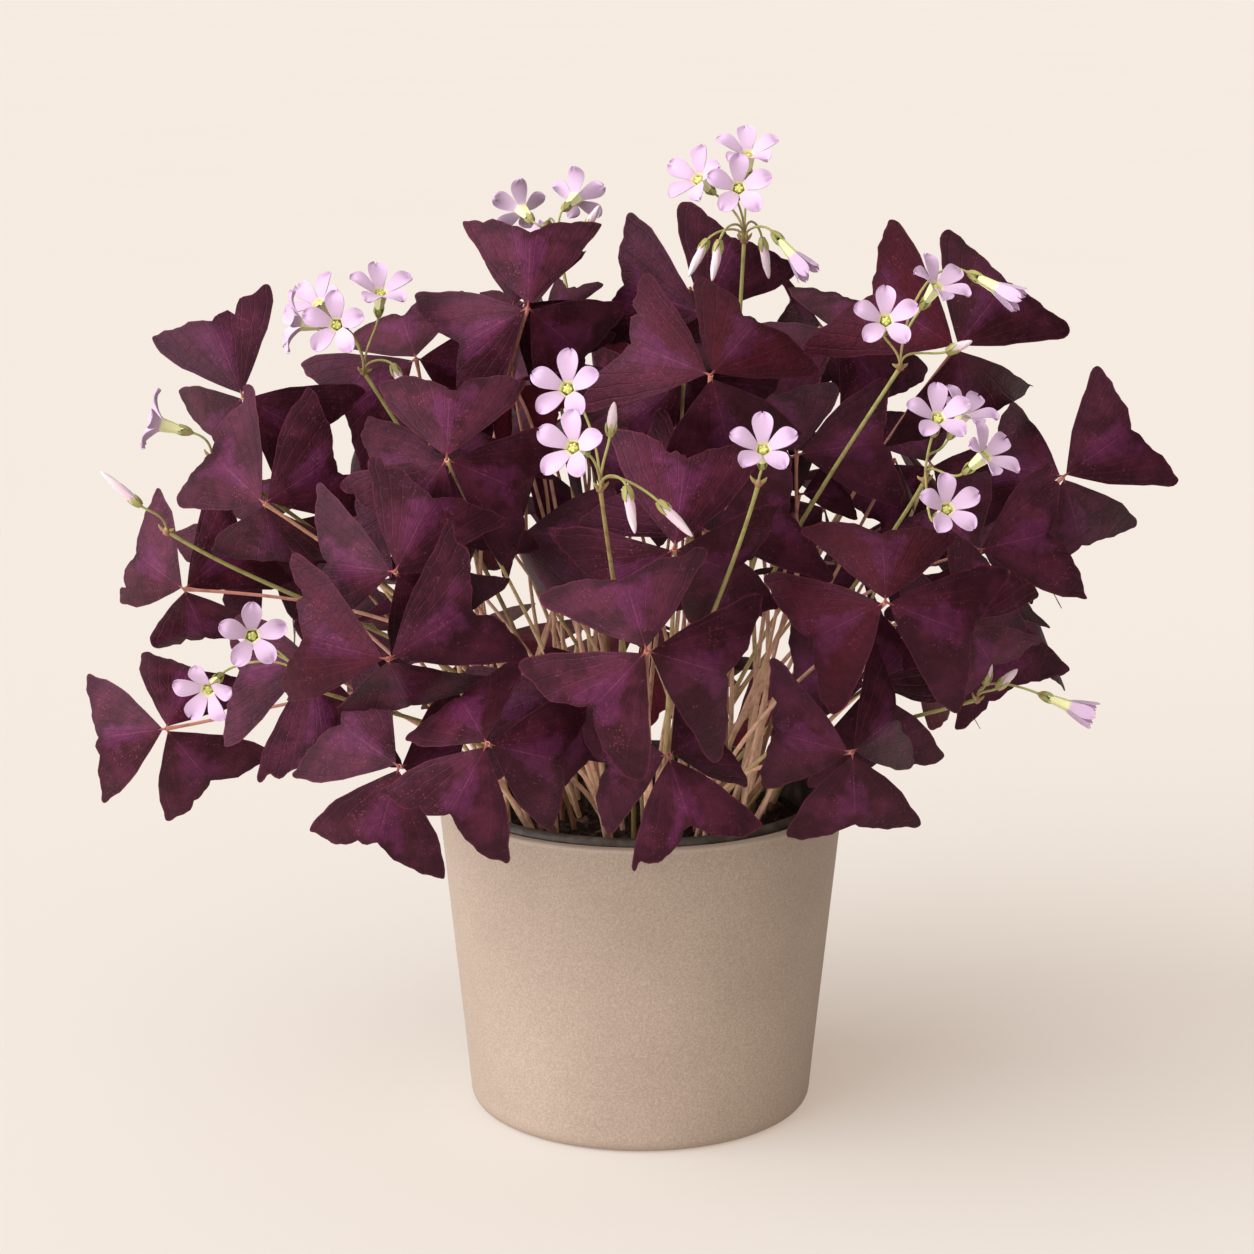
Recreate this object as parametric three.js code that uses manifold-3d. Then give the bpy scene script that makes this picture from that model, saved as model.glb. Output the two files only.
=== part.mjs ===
// A purple shamrock (Oxalis triangularis) in a nursery pot inside a stoneware cover pot.
// Millimetres, +Z up. The origin is the middle of the cover pot's foot, on the table; -Y is the front.
// The plant is an assembly of tufts of leaves, flower stalks and blooms that stand in holes in the soil.
// Hand-placed leaves and flowers are listed in tables; the other leaves are placed by a seeded rule, and
// a search moves each leaf and bends each petiole until nothing crosses.
import * as THREE from "three";
import { mergeVertices } from "three/addons/utils/BufferGeometryUtils.js";
import Module from "manifold-3d";

const wasm = await Module();
wasm.setup();

// ---------------------------------------------------------------- driving dimensions
const CLEARANCE = 0.3; // gap between pieces that touch
const POT_HEIGHT = 113.8;
const POT_TOP_RADIUS = 72.5;
const POT_FOOT_RADIUS = 61.5; // where the wall meets the rounded foot corner
const POT_WALL = 4.5;
const POT_FLOOR = 6;
const POT_SEGMENTS = 36;
const LINER_TOP = 115.5; // top of the nursery pot's rolled rim, just above the cover pot's lip
const LINER_RIM_RADIUS = POT_TOP_RADIUS - POT_WALL - 1.2;
const LINER_RIM_WIDTH = 4.6;
const LINER_WALL = 1.2;
const LINER_FOOT_RADIUS = 50;
const LINER_SEGMENTS = 28;
const DRAIN_HOLES = 4;
const DRAIN_RADIUS = 4;
const SOIL_TOP = 103;
const SOIL_CROWN = 2.5; // how much the soil stands higher in the middle
const SOIL_SEGMENTS = 24;
const HOLE_DEPTH = 12;

const LEAF_COUNT = 59;
const LEAVES_PER_TUFT = 3;
const BLADE_THICKNESS = 0.8;
const HUB_RADIUS = 1.4; // where the three leaflets meet
const PETIOLULE = 2.5; // from the leaf's hub to the start of each leaflet's blade
const LEAFLET_SPREAD = THREE.MathUtils.degToRad(92); // least angle between two leaflets of a leaf
const HALF_WIDTH = 0.7; // half the distance between a leaflet's lobe tips, for a length of 1
const SIDE_BULGE = 0.13; // how far a leaflet's side swells past the straight line, for a length of 1
const NOTCH = 0.8; // where the far edge dips between the lobes, for a length of 1
const FOLD = THREE.MathUtils.degToRad(14); // each half of a leaflet hangs this much from the midrib
const ARCH = 0.12; // droop along the midrib, for a length of 1
const CUP = 0.1; // droop across a half, for a length of 1
const PETIOLE_RADIUS = 1.1;
const PETIOLE_STEPS = 5;
const CROWN_RADIUS = 4.2; // the rhizome that a tuft grows from
const CROWN_HEIGHT = 15;
const CROWN_SIDES = 5;
const CROWN_RINGS = [48, 21, 35]; // distances of the crowns from the axis, in turn
const CROWN_SPREAD = 1.8; // how far a petiole starts from the middle of its crown

const CANOPY_CENTRE = [0, 0, 100]; // the leaf hubs lie on a dome round this point
const CANOPY_RADIUS = 156; // level
const CANOPY_RISE = 184;
const CANOPY_FRONT = -25; // the leaves placed by rule stand behind this y
const CANOPY_WAIST = 190; // below this height they also keep within this width of the middle
const CANOPY_WAIST_WIDTH = 105;
const HUB_CHOICES = 160; // draws for each leaf placed by rule: the one farthest from its neighbours stays

const SCAPE_RADIUS = 1.3;
const SCAPE_HOLE = 2.3; // radius of a scape's hole in the soil
const SCAPE_RING = 28;
const SCAPE_STEPS = 5;
const STEM_SIDES = 3;
const PEDICEL_RADIUS = 0.8;
const CALYX_LENGTH = 4;
const CALYX_RADIUS = 1.9;
const BUD_RADIUS = 1.8;
const THROAT = 6.5; // from a bloom's base to its throat
const BLOOM_RADIUS = 10.5;
const PETALS = 5;
const PETAL_THICKNESS = 0.8;

// The hand-placed leaves and flowers are described as seen by an eye in front of the plant, this many
// degrees above level: a clock angle is degrees clockwise from up, a lean is degrees away from the eye.
const EYE_PITCH = THREE.MathUtils.degToRad(13);
const SIGHT = [0, -Math.cos(EYE_PITCH), Math.sin(EYE_PITCH)]; // toward the eye
const LIGHT = SIGHT; // the leaves turn their faces this way

// hub x, y, z, leaflet length, then clock and lean of the three midribs
const PLACED_LEAVES = [
  [-38, -40, 293, 35, 1, 20, 127, 36, 244, 15],
  [-134, -40, 263, 34, 301, 48, 136, 58, 210, 70],
  [144, -30, 234, 36, 57, 15, 165, 42, 275, 48],
  [106, -35, 279, 41, 334, 15, 52, 42, 158, 55],
  [-163, -45, 149, 34, 255, 28, 122, 45, 30, 55],
  [-78, -115, 155, 36, 290, 30, 191, 25, 75, 45],
  [-48, -150, 172, 34, 200, 25, 115, 40, 330, 55],
  [1, -165, 205, 40, 247, 45, 114, 38, 335, 55],
  [20, -140, 232, 37, 18, 30, 133, 35, 240, 22],
  [-62, -105, 253, 36, 5, 35, 119, 38, 207, 35],
  [22, -85, 277, 37, 305, 20, 46, 35, 172, 35],
  [-82, -130, 222, 35, 268, 38, 116, 42, 5, 50],
  [77, -115, 209, 37, 250, 35, 110, 15, 352, 45],
  [-26, -150, 188, 37, 248, 25, 180, 35, 60, 50],
  [-69, -130, 194, 37, 80, 12, 193, 42, 290, 25],
  [8, -150, 168, 31, 255, 35, 185, 25, 105, 45],
  [-156, -45, 198, 33, 281, 48, 173, 42, 65, 35],
  [65, -115, 181, 35, 155, 30, 265, 45, 20, 55],
  [63, -105, 157, 33, 250, 30, 145, 28, 85, 50],
  [122, -40, 192, 35, 148, 32, 275, 30, 30, 60],
  [-109, -75, 181, 36, 185, 15, 275, 30, 40, 50],
  [62, -70, 250, 37, 62, 12, 245, 28, 330, 45],
  [21, -20, 290, 36, 17, 40, 296, 25, 170, 45],
  [-78, -5, 271, 35, 318, 50, 250, 20, 98, 30],
  [59, 5, 279, 35, 2, 40, 110, 35, 240, 35],
  [-123, -75, 233, 35, 300, 50, 50, 45, 170, 40],
  [102, -50, 212, 36, 95, 15, 215, 45, 330, 55],
  [32, -100, 229, 36, 92, 15, 330, 45, 205, 55],
  [92, -22, 238, 35, 350, 30, 240, 35, 125, 35],
  [24, -60, 272, 37, 103, 12, 228, 25, 350, 55],
  [-67, -75, 246, 35, 290, 20, 60, 50, 180, 50],
  [96, -88, 196, 35, 165, 30, 290, 50, 45, 45],
  [-132, -45, 220, 34, 225, 35, 125, 40, 0, 60],
];

// A bloom is open or half open. Its place is its throat, and its clock and lean say where it faces.
// A bud goes from its calyx to its tip. arrive is the way the scape points where the flowers start.
const STALKS = [
  {
    node: [35, -15, 313],
    arrive: [0.05, -0.05, 1],
    blooms: [
      [36, -15, 342, 0, -45, "open"],
      [19, -20, 334, 302, -50, "open"],
      [32, -42, 333, 0, -80, "open"],
      [51, -24, 309, 140, -10, "half"],
    ],
    buds: [
      [22, -20, 313, 17, -25, 304],
      [26, -32, 314, 24, -36, 304],
      [42, 5, 311, 44, 6, 300],
    ],
  },
  {
    node: [-94, -30, 270],
    arrive: [-0.5, 0, 0.85],
    blooms: [
      [-88, -30, 297, 10, -45, "open"],
      [-101, -52, 289, 280, -78, "open"],
      [-110, -20, 292, 320, -40, "open"],
      [-114, -42, 288, 275, -15, "open"],
    ],
    buds: [[-84, -30, 272, -80, -32, 264]],
  },
  {
    node: [-143, -55, 245],
    arrive: [-0.7, -0.2, 0.6],
    blooms: [[-159, -60, 257, 285, -10, "open"]],
    buds: [],
  },
  {
    node: [-159, -55, 220],
    arrive: [-0.7, -0.1, 0.5],
    blooms: [],
    buds: [[-167, -60, 230, -177, -60, 239]],
  },
  {
    node: [-112, -90, 176],
    arrive: [-0.8, -0.3, 0.4],
    blooms: [
      [-126, -98, 194, 90, -80, "open"],
      [-141, -98, 176, 215, -55, "open"],
    ],
    buds: [[-122, -86, 186, -130, -88, 190]],
  },
  {
    node: [-13, -150, 252],
    arrive: [-0.1, -0.4, 0.9],
    blooms: [
      [-23, -146, 282, 315, -70, "open"],
      [-21, -164, 267, 290, -65, "open"],
    ],
    buds: [
      [-10, -145, 268, -9, -146, 276],
      [-5, -160, 254, -3, -161, 243],
      [5, -152, 248, 13, -154, 240],
    ],
  },
  {
    node: [36, -125, 249],
    arrive: [0.2, -0.3, 0.9],
    blooms: [[37, -132, 261, 0, -60, "open"]],
    buds: [],
  },
  {
    node: [85, -60, 276],
    arrive: [0.5, -0.1, 0.85],
    blooms: [
      [79, -72, 293, 0, -72, "open"],
      [97, -55, 302, 35, -40, "open"],
      [117, -50, 301, 120, -10, "half"],
    ],
    buds: [[101, -58, 281, 107, -60, 284]],
  },
  {
    node: [93, -70, 240],
    arrive: [0.4, -0.2, 0.85],
    blooms: [
      [96, -78, 262, 10, -60, "open"],
      [108, -45, 258, 30, -30, "open"],
      [110, -92, 252, 50, -40, "open"],
      [97, -104, 237, 40, -65, "open"],
    ],
    buds: [],
  },
  {
    node: [113, -60, 163],
    arrive: [0.9, 0.3, 0.2],
    blooms: [[144, -60, 161, 112, -5, "half"]],
    buds: [
      [116, -60, 169, 117, -60, 176],
      [120, -62, 168, 125, -62, 173],
    ],
  },
  {
    node: [-30, 75, 300],
    arrive: [-0.2, 0.3, 0.9],
    blooms: [
      [-24, 84, 318, 40, 50, "open"],
      [-44, 82, 314, 320, 50, "open"],
      [-36, 98, 302, 200, 60, "open"],
    ],
    buds: [[-20, 72, 308, -16, 72, 315]],
  },
];

const COLOURS = {
  pot: 0xb9a48d,
  liner: 0x4a463f,
  soil: 0x1f1712,
  leaf: 0x4b1f35,
  stalk: 0x8a8f3c,
  petal: 0xe3bfe3,
};

// ---------------------------------------------------------------- vectors and seeded draws
const rad = THREE.MathUtils.degToRad;
const add = (a, b, k = 1) => [a[0] + b[0] * k, a[1] + b[1] * k, a[2] + b[2] * k];
const dot = (a, b) => a[0] * b[0] + a[1] * b[1] + a[2] * b[2];
const cross = (a, b) => [a[1] * b[2] - a[2] * b[1], a[2] * b[0] - a[0] * b[2], a[0] * b[1] - a[1] * b[0]];
const length = (a) => Math.sqrt(dot(a, a));
const unit = (a) => add([0, 0, 0], a, 1 / length(a));
const vector = (a) => new THREE.Vector3(a[0], a[1], a[2]);

// A linear congruential generator, so that every run draws the same numbers.
const RANDOM_SPAN = 4294967296;
let randomState = 38;
function draw(low, high) {
  randomState = (randomState * 1664525 + 1013904223) % RANDOM_SPAN;
  return low + ((high - low) * randomState) / RANDOM_SPAN;
}

// The direction that an eye in front sees at a clock angle and a lean, both in degrees.
function seen(clock, lean) {
  const across = Math.cos(rad(lean)) * Math.sin(rad(clock));
  const away = Math.sin(rad(lean));
  const up = Math.cos(rad(lean)) * Math.cos(rad(clock));
  const cosPitch = Math.cos(EYE_PITCH);
  const sinPitch = Math.sin(EYE_PITCH);
  return [across, away * cosPitch + up * sinPitch, up * cosPitch - away * sinPitch];
}

// Turns a direction about a unit axis.
function turn(direction, axis, angle) {
  const along = add([0, 0, 0], axis, dot(direction, axis) * (1 - Math.cos(angle)));
  const turned = add(along, direction, Math.cos(angle));
  return add(turned, cross(axis, direction), Math.sin(angle));
}

// ---------------------------------------------------------------- one leaflet
// How far along the midrib the far edge lies at u, -1 to 1 across.
function farEdge(u) {
  const a = Math.abs(u);
  return NOTCH + 0.5 * (1 - NOTCH) * (1 - (1 - a) ** 3 + a ** 3);
}

// A point of a leaflet's middle surface: u -1 to 1 across, v 0 at the stalk to 1 at the far edge.
function leafletPoint(leaflet, u, v) {
  const along = farEdge(u) * v;
  const across = HALF_WIDTH * u * v + Math.sign(u) * SIDE_BULGE * 4 * v * (1 - v) * Math.abs(u) ** 3;
  const cupped = (CUP * across * across) / HALF_WIDTH;
  const fall = Math.abs(across) * Math.sin(FOLD) + ARCH * along * along + cupped;
  let point = add(leaflet.hub, leaflet.rib, PETIOLULE + along * leaflet.length);
  point = add(point, leaflet.side, across * Math.cos(FOLD) * leaflet.length);
  return add(point, leaflet.normal, -fall * leaflet.length);
}

// The three leaflets of a leaf whose hub is at a place.
function leafletsOf(leaf) {
  return leaf.ribs.map((rib) => {
    const normal = unit(add(leaf.face, rib, -dot(leaf.face, rib)));
    return { hub: leaf.hub, length: leaf.length, rib, normal, side: cross(rib, normal) };
  });
}

// Turns midribs that are too near each other apart, in pairs.
function spreadRibs(ribs) {
  const spread = [...ribs];
  for (let pass = 0; pass < 12; pass++) {
    for (const [i, j] of [[0, 1], [1, 2], [2, 0]]) {
      const missing = LEAFLET_SPREAD - Math.acos(dot(spread[i], spread[j]));
      if (missing < 0) continue;
      const axis = unit(cross(spread[i], spread[j]));
      spread[i] = turn(spread[i], axis, -missing / 2);
      spread[j] = turn(spread[j], axis, missing / 2);
    }
  }
  return spread;
}

// ---------------------------------------------------------------- curves
// A cubic curve through a start and an end, with the directions that it leaves and arrives in.
function stemCurve(start, leave, end, arrive, sway) {
  const span = length(add(end, start, -1));
  const first = add(add(start, leave, 0.38 * span), sway);
  const second = add(add(end, arrive, -0.3 * span), sway, 0.6);
  return [start, first, second, end];
}

function curvePoint(curve, t) {
  const s = 1 - t;
  const weights = [s * s * s, 3 * s * s * t, 3 * s * t * t, t * t * t];
  return weights.reduce((sum, weight, i) => add(sum, curve[i], weight), [0, 0, 0]);
}

// A pedicel arches over from the flower head to a calyx that it enters along the flower's axis.
function pedicelCurve(start, end, facing) {
  const span = length(add(end, start, -1));
  const rise = add(start, [0, 0, 1], 0.45 * span);
  return [start, rise, add(end, facing, -0.35 * span), end];
}

function curvePoints(curve, step) {
  const span = length(add(curve[3], curve[0], -1));
  const count = Math.ceil((1.15 * span) / step);
  return Array.from({ length: count + 1 }, (_, i) => curvePoint(curve, i / count));
}

// ---------------------------------------------------------------- what is taken, in small cells
const CELL = 2;
const CELLS_ACROSS = 230;
const CELLS_UP = 150;
const CELL_CORNER = [-230, -230, 90];
const BLADE_REACH = 4.5;
const STEM_REACH = 3.2;
const SHARED = -1;

const cellCount = CELLS_ACROSS * CELLS_ACROSS * CELLS_UP;
const nearBladeForBlade = new Int16Array(cellCount);
const nearBladeForStem = new Int16Array(cellCount);
const nearStem = new Int16Array(cellCount);

function cellOf(point) {
  const i = Math.floor((point[0] - CELL_CORNER[0]) / CELL);
  const j = Math.floor((point[1] - CELL_CORNER[1]) / CELL);
  const k = Math.floor((point[2] - CELL_CORNER[2]) / CELL);
  return (i * CELLS_ACROSS + j) * CELLS_UP + k;
}

function ballOffsets(reach) {
  const cells = Math.ceil(reach / CELL);
  const offsets = [];
  for (let i = -cells; i <= cells; i++) {
    for (let j = -cells; j <= cells; j++) {
      for (let k = -cells; k <= cells; k++) {
        if (CELL * Math.sqrt(i * i + j * j + k * k) <= reach) {
          offsets.push((i * CELLS_ACROSS + j) * CELLS_UP + k);
        }
      }
    }
  }
  return offsets;
}

const bladeBall = ballOffsets(BLADE_REACH);
const stemBall = ballOffsets(STEM_REACH);

function take(grid, points, ball, owner) {
  for (const point of points) {
    const cell = cellOf(point);
    for (const offset of ball) {
      const before = grid[cell + offset];
      grid[cell + offset] = before === 0 || before === owner ? owner : SHARED;
    }
  }
}

const takeBlade = (points, owner) => {
  take(nearBladeForBlade, points, bladeBall, owner);
  take(nearBladeForStem, points, stemBall, owner);
};

// How many points lie in cells that something other than the owner takes.
function clashes(grid, points, owner) {
  return points.filter((point) => grid[cellOf(point)] !== 0 && grid[cellOf(point)] !== owner).length;
}

// Whether a point is in or too near the pots or the soil.
const POT_MARGIN = 3;
function hitsPot(point) {
  const radius = Math.hypot(point[0], point[1]);
  const wall = POT_FOOT_RADIUS + ((POT_TOP_RADIUS - POT_FOOT_RADIUS) * point[2]) / POT_HEIGHT;
  const inside = radius < POT_TOP_RADIUS - POT_WALL - LINER_RIM_WIDTH - POT_MARGIN - 2;
  const floor = inside ? SOIL_TOP + SOIL_CROWN + 2 : POT_HEIGHT + POT_MARGIN;
  return radius < wall + POT_MARGIN && point[2] < floor;
}

// ---------------------------------------------------------------- layout of the leaves
const outward = (hub) => unit(add(hub, CANOPY_CENTRE, -1));

function placedLeaf([x, y, z, size, ...angles]) {
  const hub = [x, y, z];
  const ribs = [0, 2, 4].map((i) => seen(angles[i], angles[i + 1]));
  return { hub, length: size, ribs: spreadRibs(ribs), face: unit(add(LIGHT, outward(hub), 0.1)), way: SIGHT };
}

// A regular leaf at a place on the dome, facing outward and up and a little to the light.
function ruledLeaf(hub) {
  const face = unit(add(add(add([0, 0, 0], outward(hub), 0.8), [0, 0, 1], 0.4), LIGHT, 0.15));
  const level = unit(cross(face, [0, 0, 1]));
  const spin = draw(0, 120);
  const droop = rad(draw(12, 34));
  const ribs = [0, 1, 2].map((i) => {
    const across = turn(level, face, rad(spin + 120 * i));
    return add(add([0, 0, 0], across, Math.cos(droop)), face, -Math.sin(droop));
  });
  return { hub, length: draw(32, 38), ribs, face, way: outward(hub) };
}

// Places drawn on the dome, each as far as it can be from the hubs already taken.
function domeHubs(taken, count) {
  const hubs = [...taken];
  const inRegion = ([x, y, z]) => y > CANOPY_FRONT && (z > CANOPY_WAIST || Math.abs(x) < CANOPY_WAIST_WIDTH);
  while (hubs.length < taken.length + count) {
    let best = null;
    for (let choice = 0; choice < HUB_CHOICES; choice++) {
      const angle = draw(0, 2 * Math.PI);
      const rise = draw(0.22, 1);
      const share = draw(0.93, 1.04);
      const flat = Math.sqrt(1 - rise * rise) * CANOPY_RADIUS * share;
      const height = rise * CANOPY_RISE * share;
      const hub = add(CANOPY_CENTRE, [flat * Math.sin(angle), -flat * Math.cos(angle), height]);
      const room = Math.min(...hubs.map((other) => length(add(other, hub, -1))));
      if (inRegion(hub) && (!best || room > best.room)) best = { hub, room };
    }
    hubs.push(best.hub);
  }
  return hubs.slice(taken.length);
}

const placed = PLACED_LEAVES.map(placedLeaf);
const placedHubs = placed.map((leaf) => leaf.hub);
const leaves = [...placed, ...domeHubs(placedHubs, LEAF_COUNT - placed.length).map(ruledLeaf)];

// Leaves that are neighbours round the plant share a tuft, whose crown stands under them.
const around = (point) => Math.atan2(point[0], -point[1]);
const inOrder = [...leaves].sort((a, b) => around(a.hub) - around(b.hub));
const tufts = [];
for (let i = 0; i < inOrder.length; i += LEAVES_PER_TUFT) {
  const members = inOrder.slice(i, i + LEAVES_PER_TUFT);
  const middle = members.reduce((sum, leaf) => add(sum, unit([leaf.hub[0], leaf.hub[1], 0])), [0, 0, 0]);
  const ring = CROWN_RINGS[tufts.length % CROWN_RINGS.length];
  const tuft = { number: tufts.length + 1, members, crown: add([0, 0, 0], unit(middle), ring) };
  members.forEach((leaf) => {
    leaf.tuft = tuft;
  });
  tufts.push(tuft);
}

// ---------------------------------------------------------------- layout of the flowers
const soilHeight = (point) => SOIL_TOP + SOIL_CROWN * (1 - (point[0] ** 2 + point[1] ** 2) / 60 ** 2);
const SCAPE_CLEAR = CROWN_RADIUS + SCAPE_RADIUS + 2.5;
const scapeBases = [];

// The first spot under a flower head that is clear of the crowns and of the other scapes.
function scapeBase(node) {
  const start = around(node);
  for (let step = 0; step < 60; step++) {
    const side = step % 2 === 0 ? 1 : -1;
    const angle = start + side * rad(6) * Math.ceil(step / 2);
    const ring = SCAPE_RING + (step % 3) * 6;
    const spot = [ring * Math.sin(angle), -ring * Math.cos(angle), 0];
    const clear = [...tufts.map((tuft) => tuft.crown), ...scapeBases].every(
      (other) => length(add(other, spot, -1)) > SCAPE_CLEAR,
    );
    if (clear) {
      scapeBases.push(spot);
      return spot;
    }
  }
  throw new Error("no clear spot for a scape");
}

const stalks = STALKS.map(({ node, arrive, blooms, buds }, i) => {
  const spot = scapeBase(node);
  const base = add(spot, [0, 0, 1], soilHeight(spot) - HOLE_DEPTH + CLEARANCE);
  const heads = blooms.map(([x, y, z, clock, leanAway, kind]) => {
    const facing = seen(clock, leanAway);
    const foot = add([x, y, z], facing, -THROAT);
    const calyx = add(foot, facing, -CLEARANCE - CALYX_LENGTH);
    return { foot, facing, kind, calyx, pedicel: pedicelCurve(node, calyx, facing) };
  });
  const closed = buds.map(([x, y, z, tipX, tipY, tipZ]) => {
    const foot = [x, y, z];
    const facing = unit(add([tipX, tipY, tipZ], foot, -1));
    const size = length(add([tipX, tipY, tipZ], foot, -1));
    return { foot, facing, length: size, pedicel: pedicelCurve(node, foot, facing) };
  });
  return { number: i + 1, spot, base, node, arrive: unit(arrive), heads, closed };
});

// The rim of a bloom: five petals, each with a broad tip between two deep cuts.
const BLOOM_SHAPES = {
  open: { radius: BLOOM_RADIUS, depth: 11, throatRadius: 2.6, cut: 0.42 },
  half: { radius: 0.5 * BLOOM_RADIUS, depth: 15, throatRadius: 2.2, cut: 0.55 },
};
const PETAL_RIM = [
  [-36, 0],
  [-19, 0.88],
  [0, 1],
  [19, 0.88],
];

// A point of a bloom at an angle round its axis, a distance from the axis and a height over its foot.
function bloomPoint(head, angle, radius, height) {
  const across = unit(cross(Math.abs(head.facing[2]) > 0.9 ? [1, 0, 0] : [0, 0, 1], head.facing));
  const upward = cross(head.facing, across);
  const base = add(head.foot, head.facing, height);
  return add(add(base, across, radius * Math.cos(angle)), upward, radius * Math.sin(angle));
}

function bloomRim(head) {
  const shape = BLOOM_SHAPES[head.kind];
  const rim = [];
  for (let petal = 0; petal < PETALS; petal++) {
    for (const [offset, share] of PETAL_RIM) {
      const reach = share === 0 ? shape.cut : share;
      const height = THROAT + (shape.depth - THROAT) * reach;
      rim.push({ angle: rad((360 / PETALS) * petal + 90 + offset), radius: shape.radius * reach, height });
    }
  }
  return rim;
}

function bloomSamples(head) {
  return bloomRim(head).flatMap(({ angle, radius, height }) =>
    [1, 0.75, 0.5, 0.25].map((share) => bloomPoint(head, angle, radius * share, 0.5 * height * (1 + share))),
  );
}

// Crowns stand a little out of the soil.
for (const tuft of tufts) {
  const top = add(tuft.crown, [0, 0, 1], soilHeight(tuft.crown) + 2);
  const rim = [0, 1, 2, 3, 4].map((i) => add(top, [3 * Math.cos(rad(72 * i)), 3 * Math.sin(rad(72 * i)), 0]));
  take(nearStem, rim, stemBall, tuft.number);
}

const STALK_OWNER = 1000;
const SCAPE_SWAYS = [0, 6, -6, 12, -12, 18, -18, 26, -26];
for (const stalk of stalks) {
  const owner = STALK_OWNER + stalk.number;
  [...stalk.heads, ...stalk.closed].forEach(({ pedicel }) => {
    take(nearStem, curvePoints(pedicel, CELL), stemBall, owner);
  });
  stalk.heads.forEach((head) => takeBlade(bloomSamples(head), owner));
  stalk.closed.forEach(({ foot, facing, length: size }) => {
    const along = [0, 0.25, 0.5, 0.75, 1].map((share) => add(foot, facing, share * size));
    takeBlade(along, owner);
  });
}

// Each scape takes the straightest way up that is clear of the other stalks.
for (const stalk of stalks) {
  const owner = STALK_OWNER + stalk.number;
  const aside = unit(cross([0, 0, 1], add(stalk.node, stalk.base, -1)));
  let best = null;
  for (const sway of SCAPE_SWAYS) {
    const scape = stemCurve(stalk.base, [0, 0, 1], stalk.node, stalk.arrive, add([0, 0, 0], aside, sway));
    const points = curvePoints(scape, CELL);
    const count = clashes(nearStem, points, owner) + clashes(nearBladeForStem, points, owner);
    if (!best || count < best.count) best = { scape, points, count };
  }
  stalk.scape = best.scape;
  take(nearStem, best.points, stemBall, owner);
}

// ---------------------------------------------------------------- the search that seats each leaf
const SHRINKS = [1, 0.9, 0.8];
const SHIFTS = [0, -6, 6, -12, 12, -18, 18, -25, -32, -40, -48]; // along the line of sight, or outward
const SLIDES = [0, 5, -5, 10, -10]; // level, across the leaf
const TILTS = [0, 9, -9, 18, -18];
const TWISTS = [0, 9, -9, 18, -18];
const SWAYS = [0, 8, -8, 16, -16, 26, -26, 38, -38];
const LIFTS = [0, 14, -12, 26];
const SAMPLES_ACROSS = 16;
const SAMPLES_ALONG = 11;
const OWN_CLEAR = 4.5; // a petiole keeps this far from its own leaf's blades

function bladeSamples(leaf, across, along) {
  const points = [];
  for (const leaflet of leafletsOf(leaf)) {
    for (let j = 0; j <= along; j++) {
      for (let i = 0; i <= across; i++) {
        points.push(leafletPoint(leaflet, (2 * i) / across - 1, 0.02 + (0.98 * j) / along));
      }
    }
  }
  return points;
}

// A petiole rises from its crown and meets the hub from behind the leaf's face.
function petioleOf(leaf, hub, sway, lift) {
  const crown = leaf.tuft.crown;
  const away = unit(add([hub[0], hub[1], 0], [crown[0], crown[1], 0], -1));
  const base = add(add(crown, away, CROWN_SPREAD), [0, 0, 1], soilHeight(crown) + 1);
  const leave = unit(add([0, 0, 1.5], away, 0.6));
  const arrive = unit(add(unit(add(hub, base, -1)), leaf.face, 0.5));
  const aside = unit(cross([0, 0, 1], away));
  return stemCurve(base, leave, hub, arrive, add(add([0, 0, 0], aside, sway), [0, 0, 1], lift));
}

function findRoute(leaf, hub, own) {
  let best = null;
  for (const lift of LIFTS) {
    for (const sway of SWAYS) {
      const route = petioleOf(leaf, hub, sway, lift);
      const points = curvePoints(route, CELL);
      const last = points.slice(-24, -3);
      const count =
        clashes(nearBladeForStem, points, 0) +
        clashes(nearStem, points, leaf.tuft.number) +
        points.slice(3).filter(hitsPot).length +
        last.filter((point) => own.some((other) => length(add(point, other, -1)) < OWN_CLEAR)).length;
      if (!best || count < best.count) best = { route, points, count };
      if (count === 0) return best;
    }
  }
  return best;
}

// The places and poses to try for a leaf, the smallest changes first.
function* candidates(leaf) {
  const level = unit(cross(leaf.face, [0, 0, 1]));
  for (const share of SHRINKS) {
    for (const shift of SHIFTS) {
      for (const slide of SLIDES) {
        for (const tilt of TILTS) {
          for (const twist of TWISTS) {
            const hub = add(add(leaf.hub, leaf.way, shift), level, slide);
            const face = turn(leaf.face, level, rad(tilt));
            const ribs = leaf.ribs.map((rib) => turn(turn(rib, level, rad(tilt)), face, rad(twist)));
            yield { ...leaf, hub, ribs, face, length: share * leaf.length };
          }
        }
      }
    }
  }
}

function seat(leaf, number) {
  let best = null;
  for (const pose of candidates(leaf)) {
    const samples = bladeSamples(pose, SAMPLES_ACROSS, SAMPLES_ALONG);
    const blades =
      clashes(nearBladeForBlade, samples, 0) + clashes(nearStem, samples, 0) + samples.filter(hitsPot).length;
    if (best && blades >= best.count) continue;
    const own = bladeSamples(pose, 4, 4).filter((point) => length(add(point, pose.hub, -1)) > 9);
    const found = findRoute(pose, pose.hub, own);
    const count = blades + 3 * found.count;
    if (!best || count < best.count) best = { pose, samples, found, count };
    if (count === 0) break;
  }
  Object.assign(leaf, best.pose, { route: best.found.route });
  takeBlade(best.samples, number);
  take(nearStem, best.found.points, stemBall, leaf.tuft.number);
}

leaves.forEach((leaf, i) => seat(leaf, i + 1));

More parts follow.
